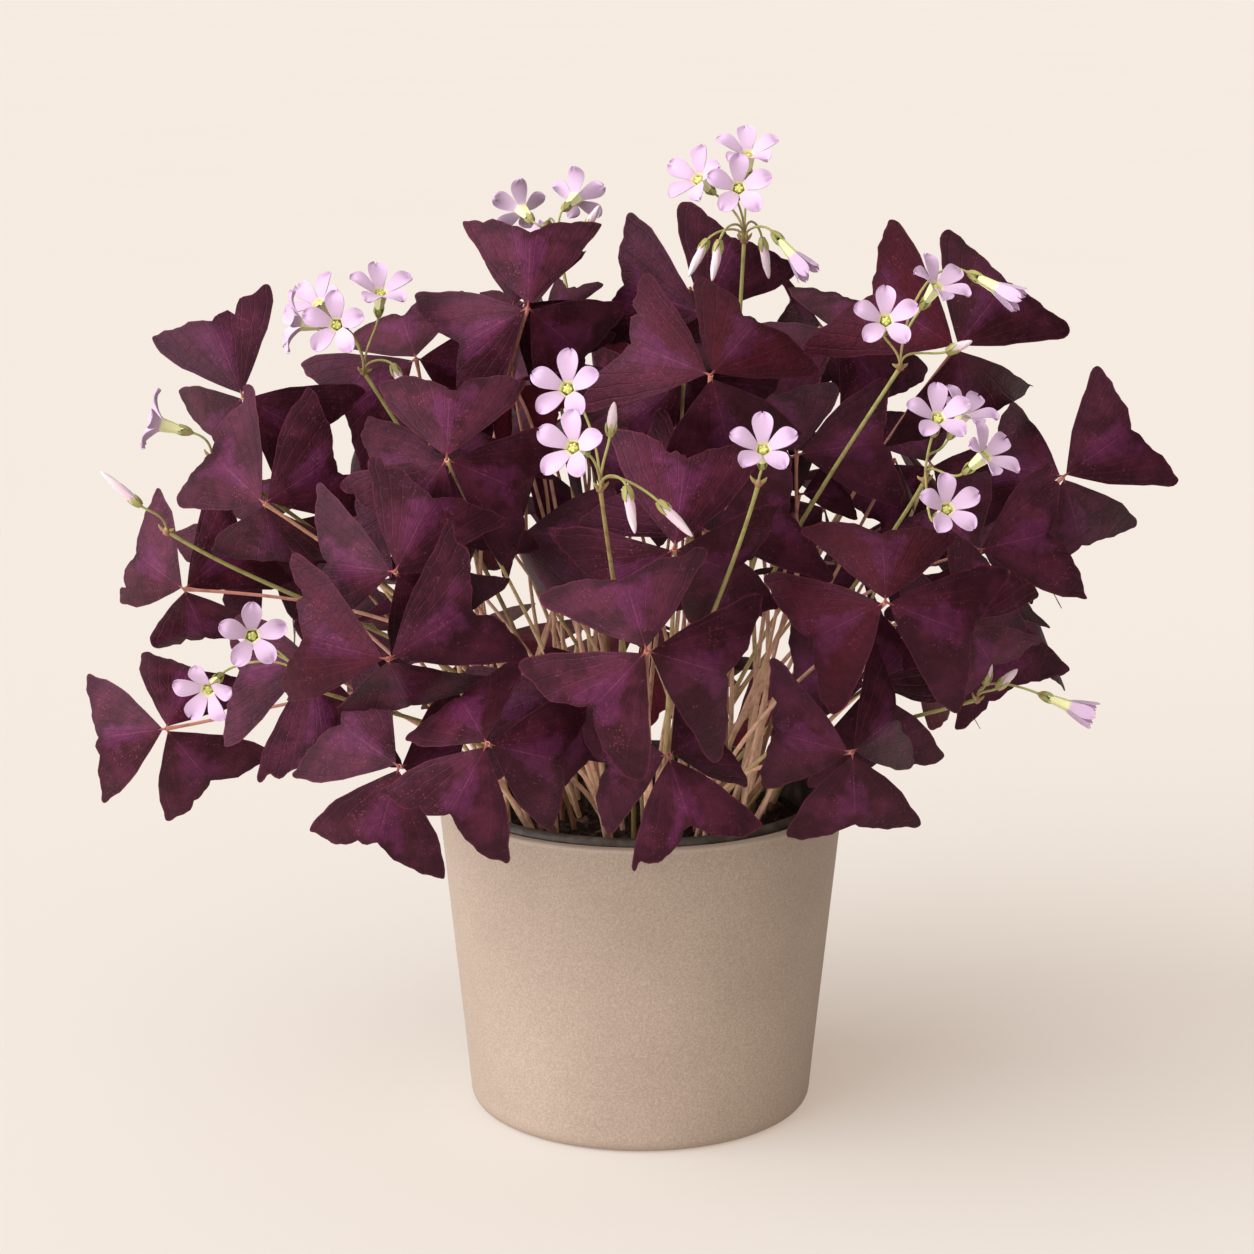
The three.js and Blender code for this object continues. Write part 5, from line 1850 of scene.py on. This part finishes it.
@dataclass
class Blooms:
    """The petals, stamens, calyces and buds."""

    palette: Palette
    throat: float = 6.5 * MM
    throat_at: float = 0.38
    foot_radius: float = 1.1 * MM
    neck_width: float = 1.45 * MM
    calyx_length: float = 4 * MM
    calyx_gap: float = 0.3 * MM
    calyx_finish: int = 1
    petals: int = 5
    thickness: float = 0.3 * MM
    stamen_radius: float = 0.16 * MM
    anther_radius: float = 0.6 * MM
    pistil_radius: float = 1.55 * MM
    stamen_finish: int = 1
    bud_stretch: float = 1.22
    bud_sides: int = 20
    shapes: dict[BloomKind, BloomShape] = field(
        default_factory=lambda: {
            BloomKind.OPEN: BloomShape(11.2 * MM, 10.6 * MM, 1.9 * MM, 3.3 * MM, 1.25, 0.77, True),
            BloomKind.HALF: BloomShape(4.7 * MM, 16 * MM, 1.6 * MM, 2.3 * MM, 0.9, 0.66, False),
        }
    )

    def axes(self, place: Bloom) -> Axes:
        """Returns a bloom's axes."""
        facing = seen(place.clock, place.lean)
        return Axes(vec([place.x, place.y, place.z]) - facing * self.throat, facing)

    def build(self) -> Array:
        """Makes the petals of every bloom, each bloom a piece.

        Returns:
            The petals' points.
        """
        number = 0
        taken = []
        for stalk in STALKS:
            for place in stalk.blooms:
                number += 1
                draws = np.random.default_rng(500 + number)
                draft = Draft(f"petals_{number:02d}")
                self.add_petals(draft, self.axes(place), self.shapes[place.kind], draws)
                self.add_stamens(draft, self.axes(place), draws)
                piece = draft.build([self.palette.petal, self.palette.stamen], crease=70)
                settle(piece, Slot.PETAL, f"bloom_{number:02d}")
                taken += draft.points
        return np.concatenate(taken)

    def petal_line(self, shape: BloomShape, t: Array) -> tuple[Array, Array]:
        """Returns the radius and the height of a petal's middle line at t from 0 to 1."""
        low = np.clip(t / self.throat_at, 0, 1)
        high = np.clip((t - self.throat_at) / (1 - self.throat_at), 0, 1)
        radius = self.foot_radius + (shape.throat_radius - self.foot_radius) * low
        radius = radius + (shape.radius - shape.throat_radius) * high**shape.flare
        rise = np.sin(high * math.pi / 2) if shape.levels_out else high
        height = self.throat * low + (shape.depth - self.throat) * rise
        return radius, height

    def add_petals(self, draft: Draft, axes: Axes, shape: BloomShape, draws: Draws) -> None:
        """Adds five obovate petals that overlap below and part above.

        Args:
            draft: Takes the petals.
            axes: Where the bloom is and faces.
            shape: Its shape.
            draws: The random draws.
        """
        end_from = shape.end_from
        end = end_from + (1 - end_from) * np.sin(np.linspace(0, 0.5 * math.pi, 9))
        rows = np.concatenate([np.linspace(0, end_from - 0.04, 11), end])
        columns = np.linspace(-1, 1, 11)
        for petal in range(self.petals):
            turn = 2 * math.pi * petal / self.petals + math.pi / 2 + draws.uniform(-0.05, 0.05)
            size = draws.uniform(0.95, 1.03)
            phase = draws.uniform(0, 2 * math.pi, 3)
            s, t = np.meshgrid(columns, rows)
            tip_drop = 1 - 0.02 * np.exp(-((s / 0.4) ** 2)) * blend_step(t, 0.85, 1)
            radius, height = self.petal_line(shape, t * tip_drop)
            joined = 1.1 * radius * math.tan(math.pi / self.petals)
            swell = self.neck_width + (shape.widest - self.neck_width) * blend_step(t, 0.36, 0.78)
            past = np.clip((t - end_from) / (1.008 * (1 - end_from)), 0, 1)
            round_end = np.sqrt(1 - past**2)
            half_width = np.minimum(joined, swell) * round_end
            radius = radius * size
            side = s * half_width
            curl = 0.5 * MM * np.sin(3 * s + phase[0]) * blend_step(t, 0.5, 1)
            cup = 0.9 * MM * s**2 * blend_step(t, 0.45, 0.9) - 0.9 * MM * blend_step(t, 0.75, 1) ** 2
            wave = 0.25 * MM * np.sin(7 * s + phase[1]) * blend_step(t, 0.8, 1)
            lift = 0.12 * MM * (petal % 2) + 0.1 * MM * s
            full_radius = np.hypot(radius, side)
            angle = turn + np.arctan2(side, radius)
            level = height + cup + curl * 0.5 + wave + lift
            top = axes.point(angle, full_radius, level)
            thick = self.thickness * (1 - 0.5 * blend_step(t, 0.8, 1))
            under = axes.point(angle, full_radius + 0.4 * thick, level - 0.9 * thick)
            tone = draws.uniform(0, 1)
            places = np.stack([s, t, np.full(s.shape, tone)], axis=-1)
            draft.sheet(top[:, ::-1], under[:, ::-1], places[:, ::-1])

    def add_stamens(self, draft: Draft, axes: Axes, draws: Draws) -> None:
        """Adds the stamens that stand in the throat.

        Args:
            draft: Takes the stamens.
            axes: Where the bloom is and faces.
            draws: The random draws.
        """
        for i in range(self.petals):
            angle = np.array(2 * math.pi * i / self.petals + draws.uniform(-0.2, 0.2))
            foot = axes.point(angle, np.array(0.5 * MM), np.array(1.5 * MM))
            head = axes.point(angle, np.array(0.95 * MM), np.array(draws.uniform(5.6, 6.6) * MM))
            line = np.linspace(foot, head, 4)
            draft.tube(line, np.full(4, self.stamen_radius), 0.2, sides=5, finish=self.stamen_finish)
            draft.lump(head, np.full(3, self.anther_radius), 0.9, np.ones(12), self.stamen_finish)
        middle = axes.foot + axes.facing * 5.3 * MM
        draft.lump(middle, np.full(3, self.pistil_radius), 0.6, np.ones(12), self.stamen_finish)

    def add_calyx(self, draft: Draft, axes: Axes, draws: Draws) -> None:
        """Adds the five pointed sepals under a bloom and the cup that they grow from."""
        foot = -self.calyx_gap - self.calyx_length
        heights = foot + np.array([-0.4, 0, 0.5, 1.4, 2.4, 3.2]) * MM
        line = np.array([axes.foot + axes.facing * h for h in heights])
        radii = np.array([0.45, 0.65, 0.95, 1.2, 1.25, 0.85]) * MM
        draft.tube(line, radii, 0.4, sides=10, finish=self.calyx_finish)
        for i in range(self.petals):
            self.add_sepal(draft, axes, 2 * math.pi * (i + 0.5) / self.petals + 0.3, foot, draws)

    def add_sepal(self, draft: Draft, axes: Axes, turn: float, foot: float, draws: Draws) -> None:
        """Adds one sepal, which hugs the tube of the bloom.

        Args:
            draft: Takes the sepal.
            axes: Where the bloom is and faces.
            turn: The sepal's angle round the bloom.
            foot: The height of its foot.
            draws: The random draws.
        """
        s, t = np.meshgrid(np.linspace(-1, 1, 5), np.linspace(0, 1, 9))
        reach = draws.uniform(4.3, 5.0) * MM
        radius = (0.7 + 0.85 * np.sin(t * 2.1)) * MM
        half_width = 0.8 * MM * (1 - t**2.2) * np.clip(0.55 + 1.6 * t, 0, 1) + 0.03 * MM
        height = foot + 0.4 * MM + reach * t
        side = s * half_width
        angle = turn + np.arctan2(side, radius)
        full = np.hypot(radius, side)
        top = axes.point(angle, full - 0.05 * MM, height)
        under = axes.point(angle, full + 0.28 * MM, height)
        places = np.stack([s, 0.3 + 0.7 * t, np.full(s.shape, draws.uniform(0, 0.6))], axis=-1)
        draft.sheet(top[:, ::-1], under[:, ::-1], places[:, ::-1], self.calyx_finish)

    def add_bud(self, draft: Draft, place: Bud, draws: Draws) -> None:
        """Adds the furled petals of a bud, a spindle with five twisted ridges.

        Args:
            draft: Takes the petals.
            place: Where the bud is.
            draws: The random draws.
        """
        foot, tip = place.ends()
        axes = Axes(foot, unit(tip - foot))
        length = self.bud_stretch * float(np.linalg.norm(tip - foot))
        t = np.linspace(0.04, 1, 14)
        turn, level = np.meshgrid(np.linspace(0, 2 * math.pi, self.bud_sides, endpoint=False), t)
        belly = np.sin(np.clip(level, 0, 1) ** 0.8 * math.pi) ** 0.7
        ridge = 1 + 0.08 * np.cos(5 * (turn + 2.2 * level))
        radius = (0.3 + 1.2 * belly) * MM * ridge
        rings = axes.point(turn, radius, level * length)
        tone = draws.uniform(0, 1)
        places = np.stack([np.cos(turn), 0.35 + 0.65 * level, np.full(turn.shape, tone)], axis=-1)
        first = draft.add(rings, places)
        end = draft.add(axes.foot + axes.facing * length * 1.02, [0, 1, tone])
        start = draft.add(axes.foot + axes.facing * 0.02 * length, [0, 0.3, tone])
        draft.wrap(first, len(t), self.bud_sides, (start, end))

    def add_bud_calyx(self, draft: Draft, place: Bud, draws: Draws) -> None:
        """Adds the small green calyx that holds a bud.

        Args:
            draft: Takes the calyx.
            place: Where the bud is.
            draws: The random draws.
        """
        foot, tip = place.ends()
        facing = unit(tip - foot)
        axes = Axes(foot + facing * (self.calyx_gap + self.calyx_length - 0.6 * MM), facing)
        base = -self.calyx_gap - self.calyx_length
        line = np.array([axes.foot + facing * (base + h * MM) for h in (-0.5, 0, 0.8, 1.6, 2.2)])
        draft.tube(line, np.array([0.42, 0.6, 0.9, 1.05, 0.8]) * MM, 0.3, finish=self.calyx_finish)
        for i in range(self.petals):
            self.add_sepal(draft, axes, 2 * math.pi * i / self.petals, base - 0.6 * MM, draws)


@dataclass
class FlowerStems:
    """The scapes with their pedicels, bracts, calyces and buds."""

    palette: Palette
    blooms: Blooms
    foot_radius: float = 0.95 * MM
    top_radius: float = 0.65 * MM
    pedicel_radius: float = 0.42 * MM
    steps: int = 30
    rings_after_foot: int = 4

    def build(self) -> Array:
        """Makes the stem piece and the bud piece of every stalk.

        Returns:
            Points along the stems.
        """
        taken = []
        for number, stalk in enumerate(STALKS, 1):
            node = f"stalk_{number:02d}"
            draws = np.random.default_rng(900 + number)
            draft = Draft(f"flower_stem_{number:02d}")
            head = vec(stalk.node)
            route = self.read_scape(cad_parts[node], head)
            self.add_scape(draft, route, draws)
            taken.append(cubic(route, 160))
            for place in stalk.blooms:
                axes = self.blooms.axes(place)
                calyx = axes.foot - axes.facing * (self.blooms.calyx_gap + self.blooms.calyx_length)
                self.add_pedicel(draft, head, calyx, axes.facing, draws)
                self.blooms.add_calyx(draft, axes, draws)
            for bud in stalk.buds:
                foot, tip = bud.ends()
                self.add_pedicel(draft, head, foot, unit(tip - foot), draws)
                self.blooms.add_bud_calyx(draft, bud, draws)
            self.add_bracts(draft, head, len(stalk.blooms) + len(stalk.buds), draws)
            settle(draft.build([self.palette.scape, self.palette.calyx]), Slot.STALK, node)
            if stalk.buds:
                buds = Draft(f"buds_{number:02d}")
                for bud in stalk.buds:
                    self.blooms.add_bud(buds, bud, draws)
                settle(buds.build([self.palette.bud]), Slot.PETAL, node)
                taken += buds.points
            taken += draft.points
        return np.concatenate(taken)

    def read_scape(self, solid: Piece, head: Array) -> list[Array]:
        """Follows the rings of the plain scape up from its foot and fits a curve to them.

        Args:
            solid: The stalk's solid.
            head: Where its pedicels start.

        Returns:
            The curve's four points.
        """
        work = welded(solid.data)
        foot = {vert.index for vert in sorted(work.verts, key=lambda vert: vert.co.z)[:3]}
        centres = [np.mean([work.verts[i].co for i in foot], axis=0)]
        centres += follow_rings(work, foot, set(), self.rings_after_foot)
        work.free()
        centres.append(head)
        lengths = np.cumsum([0] + [float(np.linalg.norm(b - a)) for a, b in zip(centres, centres[1:])])
        return fit_cubic(centres, list(lengths / lengths[-1]))

    def add_scape(self, draft: Draft, route: list[Array], draws: Draws) -> None:
        """Adds the scape."""
        line = cubic(route, self.steps)
        radii = np.linspace(self.foot_radius, self.top_radius, len(line))
        radii[-1] *= 1.2
        draft.tube(line, radii, draws.uniform(0, 1), sides=10)

    def add_pedicel(self, draft: Draft, start: Array, end: Array, facing: Array, draws: Draws) -> None:
        """Adds the thin stem of a flower."""
        line = cubic(pedicel_curve(start, end, facing), 14)
        radii = np.full(len(line), self.pedicel_radius)
        draft.tube(line, radii, draws.uniform(0, 0.7), sides=7, finish=self.blooms.calyx_finish)

    def add_bracts(self, draft: Draft, head: Array, count: int, draws: Draws) -> None:
        """Adds the small pointed bracts at the foot of the pedicels."""
        draft.lump(head, vec([1.5, 1.5, 1.7]), 0.3, draws.uniform(0.9, 1.1, 12))
        for i in range(max(count, 2)):
            angle = 2 * math.pi * i / max(count, 2) + draws.uniform(-0.3, 0.3)
            out = np.array([math.cos(angle), math.sin(angle), 0])
            tip = head + out * 2.6 * MM + UP * draws.uniform(1.0, 3.0) * MM
            line = cubic([head, head + out * 1.2 * MM, tip - UP * 0.5 * MM, tip], 5)
            draft.tube(line, np.array([0.7, 0.75, 0.65, 0.5, 0.3, 0.08]) * MM, 0.8, sides=6)


# ------------------------------------------------------------------ pots and soil
@dataclass
class CoverPot:
    """The stoneware cover pot, a tapered cup with a rounded foot and lip."""

    palette: Palette
    height: float = 113.8
    top_radius: float = 72.5
    foot_radius: float = 61.5
    wall: float = 4.5
    floor: float = 6.0
    segments: int = 224

    def build(self) -> None:
        """Makes the pot."""
        inner = self.top_radius - self.wall
        inner_foot = self.foot_radius - self.wall
        wall_steps = [
            (
                self.foot_radius + 0.3 + (self.top_radius - self.foot_radius - 0.3) * share,
                5.5 + (self.height - 6.9) * share,
                0,
            )
            for share in np.linspace(0.12, 0.9, 12)
        ]
        corners = [
            (0, 0, 0),
            (self.foot_radius - 6, 0, 0),
            (self.foot_radius - 0.1, 0, 4.4),
            *wall_steps,
            (self.top_radius + 0.1, self.height, 1.5),
            (inner - 0.05, self.height, 1.5),
            (inner_foot + 0.5, self.floor, 4),
            (0, self.floor, 0),
        ]
        finish = StonewareFinish().build(self.palette.effects, self.height * MM)
        piece = turned("stoneware_pot", rounded(corners), self.segments, finish, crease=60)
        settle(piece, Slot.STONEWARE, "cover_pot")


@dataclass
class NurseryPot:
    """The thin plastic pot with its rolled rim."""

    palette: Palette
    foot_radius: float = 50.0
    wall: float = 1.2
    rim_radius: float = 66.8
    rim_width: float = 4.6
    foot: float = 6.3
    top: float = 115.5
    rim_depth: float = 6.0
    segments: int = 176
    drain_holes: int = 4
    drain_radius: float = 4.0

    def build(self) -> None:
        """Makes the pot and drills its drain holes."""
        neck = self.top - self.rim_depth
        neck_radius = self.rim_radius - self.rim_width + self.wall
        inner = self.rim_radius - self.rim_width
        corners = [
            (0, self.foot, 0),
            (self.foot_radius, self.foot, 2.0),
            (neck_radius - 0.3, neck - 2, 0),
            (neck_radius, neck, 0.8),
            (self.rim_radius, neck + 0.6, 0.9),
            (self.rim_radius, self.top - 1.8, 0.3),
            (self.rim_radius - 1.5, self.top, 1.3),
            (inner + 1.2, self.top, 1.2),
            (inner, self.top - 2.4, 0.9),
            (neck_radius - self.wall, neck, 0.8),
            (self.foot_radius - self.wall, self.foot + self.wall, 1.2),
            (0, self.foot + self.wall, 0),
        ]
        finish = PlasticFinish().build(self.palette.effects)
        piece = turned("plastic_pot", rounded(corners), self.segments, finish, crease=60)
        self.drill(piece)
        settle(piece, Slot.PLASTIC, "nursery_pot")

    def drill(self, piece: Piece) -> None:
        """Cuts the drain holes through the floor.

        Args:
            piece: The pot.
        """
        bits = []
        for i in range(self.drain_holes):
            angle = 2 * math.pi * i / self.drain_holes
            reach = 0.6 * self.foot_radius * MM
            place = (reach * math.cos(angle), reach * math.sin(angle), self.foot * MM)
            bpy.ops.mesh.primitive_cylinder_add(
                vertices=24, radius=self.drain_radius * MM, depth=6 * MM, location=place
            )
            bits.append(bpy.context.object)
        for bit in bits:
            cut = piece.modifiers.new("drain", "BOOLEAN")
            cut.operation = "DIFFERENCE"
            cut.solver = "EXACT"
            cut.object = bit
            with bpy.context.temp_override(object=piece, active_object=piece):
                bpy.ops.object.modifier_apply(modifier=cut.name)
        for bit in bits:
            bpy.data.objects.remove(bit, do_unlink=True)
        piece.data.shade_smooth()
        piece.data.set_sharp_from_angle(angle=math.radians(50))


@dataclass
class Soil:
    """The soil in the nursery pot, with an uneven crumbly top."""

    palette: Palette
    low: float = 7.8
    low_radius: float = 48.5
    top: float = 103.0
    top_radius: float = 60.9
    crown: float = 2.5
    rings: int = 34
    segments: int = 120
    crumbs: int = 620

    def surface(self, x: Array, y: Array) -> Array:
        """Returns the height of the soil's top at a place, in millimetres."""
        r2 = (x**2 + y**2) / 60.0**2
        height = self.top + self.crown * (1 - r2)
        height = height + 0.7 * np.sin(0.21 * x + 1) * np.sin(0.19 * y) + 0.35 * np.sin(0.6 * x - 0.4 * y)
        return height + 0.3 * np.sin(0.93 * y + 0.5 * x + 2) - 0.4

    def build(self) -> None:
        """Makes the soil with its crumbs."""
        finish = SoilFinish().build(self.palette.effects)
        draws = np.random.default_rng(77)
        draft = Draft("potting_soil")
        angles = np.linspace(0, 2 * math.pi, self.segments, endpoint=False)
        rings = []
        for radius in self.top_radius * np.linspace(1, 0, self.rings, endpoint=False) ** 0.9:
            x, y = radius * np.cos(angles), radius * np.sin(angles)
            z = self.surface(x, y) + draws.uniform(-0.35, 0.35, self.segments)
            rings.append(np.stack([x, y, z], axis=1))
        x, y = self.low_radius * np.cos(angles), self.low_radius * np.sin(angles)
        rings.insert(0, np.stack([x, y, np.full(self.segments, self.low)], axis=1))
        points = np.concatenate(rings) * MM
        tones = draws.uniform(0, 0.5, len(points))
        first = draft.add(points, np.stack([0 * tones, 0 * tones, tones], axis=1))
        foot = draft.add([0, 0, self.low * MM], [0, 0, 0])
        peak = draft.add([0, 0, (self.top + self.crown) * MM], [0, 0, 0.2])
        draft.wrap(first, len(rings), self.segments, (foot, peak))
        self.add_crumbs(draft, draws)
        settle(draft.build([finish], crease=40), Slot.SOIL, "soil")

    def add_crumbs(self, draft: Draft, draws: Draws) -> None:
        """Scatters crumbs over the top."""
        for _ in range(self.crumbs):
            radius = (self.top_radius - 1.5) * math.sqrt(draws.uniform(0, 1))
            angle = draws.uniform(0, 2 * math.pi)
            x, y = radius * math.cos(angle), radius * math.sin(angle)
            size = draws.uniform(0.5, 1.5, 3) * draws.uniform(0.6, 1.5)
            centre = vec([x, y, float(self.surface(np.array(x), np.array(y))) + 0.15])
            draft.lump(centre, vec(size), draws.uniform(0.2, 1.4), draws.uniform(0.75, 1.2, 12))


# ------------------------------------------------------------------ stage
@dataclass
class Stage:
    """The floor and backdrop, the light and the camera."""

    palette: Palette
    floor_half: float = 30.0
    key_from: tuple[float, float, float] = (-0.82, -0.38, 0.42)
    key_strength: float = 3.0
    key_spread: float = math.radians(68)
    key_tone: Colour = (0.98, 0.995, 1.03)
    sky_toward: tuple[float, float, float] = (-0.35, -0.2, 0.92)
    fill_toward: tuple[float, float, float] = (-0.55, -0.79, 0.27)
    sky_tone: Colour = (1.0, 0.93, 0.86)
    sky_low: float = 0.02
    sky_high: float = 0.9
    fill: float = 0.6
    backdrop_tone: Colour = (0.913, 0.832, 0.753)
    camera_place: tuple[float, float, float] = (-0.0049, -1.088, 0.425)
    camera_pitch: float = 77.03
    lens: float = 90.31
    sensor: float = 36.0
    farthest: float = 60.0

    def build(self) -> None:
        """Makes the stage."""
        self.add_backdrop()
        self.add_lights()
        self.add_camera()
        bpy.context.scene.view_settings.view_transform = "Standard"

    def add_backdrop(self) -> None:
        """Adds a wide level floor, which reaches to the horizon of every view."""
        half = self.floor_half
        points = [(-half, -half, 0), (half, -half, 0), (half, half, 0), (-half, half, 0)]
        mesh = bpy.data.meshes.new("backdrop")
        mesh.from_pydata(points, [], [(0, 1, 2, 3)])
        mesh.materials.append(BackdropFinish().build(self.palette.effects))
        placed("backdrop", mesh)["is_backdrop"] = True

    def add_lights(self) -> None:
        """Adds a broad soft sun at the left, low and a little in front, and the sky."""
        key = bpy.data.lights.new("key", "SUN")
        key.energy = self.key_strength
        key.angle = self.key_spread
        key.color = self.key_tone
        lamp = placed("key", key)
        lamp.rotation_euler = Vector(self.key_from).to_track_quat("Z", "Y").to_euler()
        world = bpy.data.worlds.new("studio")
        world.use_nodes = True
        self.paint_sky(Nodes(world.node_tree), world.node_tree.nodes["Background"])
        bpy.context.scene.world = world

    def paint_sky(self, nodes: Nodes, sky: Node) -> None:
        """Makes the sky bright overhead and at the front left, and dim behind and at the right.

        It lights the plant so, as a studio's lamps would, and shows the camera one plain tone.

        Args:
            nodes: The world's nodes.
            sky: The world's background shader, which lights the scene.
        """
        direction = nodes.add("TexCoord").outputs["Generated"]
        toward = nodes.add("VectorMath", {0: direction, 1: self.sky_toward}, operation="DOT_PRODUCT")
        share = nodes.rise(toward.outputs["Value"], 0.0, 0.9)
        strength = nodes.slope(share, self.sky_high, self.sky_low)
        facing = nodes.add("VectorMath", {0: direction, 1: self.fill_toward}, operation="DOT_PRODUCT")
        fill = nodes.rise(facing.outputs["Value"], 0.0, 1.0)
        strength = nodes.slope(fill, self.fill, strength)
        sky.inputs[0].default_value = (*self.sky_tone, 1.0)
        nodes.feed(sky.inputs[1], strength)
        plain = nodes.add("Background", {0: self.backdrop_tone, 1: 1.0})
        view = nodes.add("LightPath").outputs["Is Camera Ray"]
        both = nodes.add("MixShader", {0: view, 1: sky.outputs[0], 2: plain.outputs[0]})
        output = next(node for node in nodes.tree.nodes if node.type == "OUTPUT_WORLD")
        nodes.tree.links.new(both.outputs[0], output.inputs["Surface"])

    def add_camera(self) -> None:
        """Adds the camera."""
        data = bpy.data.cameras.new("camera")
        data.lens = self.lens
        data.sensor_width = self.sensor
        data.clip_end = self.farthest
        camera = placed("camera", data)
        camera.location = self.camera_place
        camera.rotation_euler = (math.radians(self.camera_pitch), 0.0, 0.0)
        bpy.context.scene.camera = camera


def main() -> None:
    """Builds the plant, its pots and the stage."""
    logging.basicConfig(level=logging.INFO, format="%(message)s")
    cad_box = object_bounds()
    palette = Palette(Effects())
    CoverPot(palette).build()
    NurseryPot(palette).build()
    Soil(palette).build()
    maker = LeafMaker()
    leaves = Tufts(palette, maker).build()
    LOG.info("leaves: %d, leaflets: %d", len(leaves), sum(len(leaf.leaflets) for leaf in leaves))
    blooms = Blooms(palette)
    room = Room(*(np.array(corner) for corner in cad_box))
    room.take(blooms.build(), 3 * MM, 2.5 * MM)
    room.take(FlowerStems(palette, blooms).build(), 2.4 * MM, 2 * MM)
    InnerLeaves(palette, maker, room).build(leaves)
    Stage(palette).build()


if __name__ == "__main__":
    main()
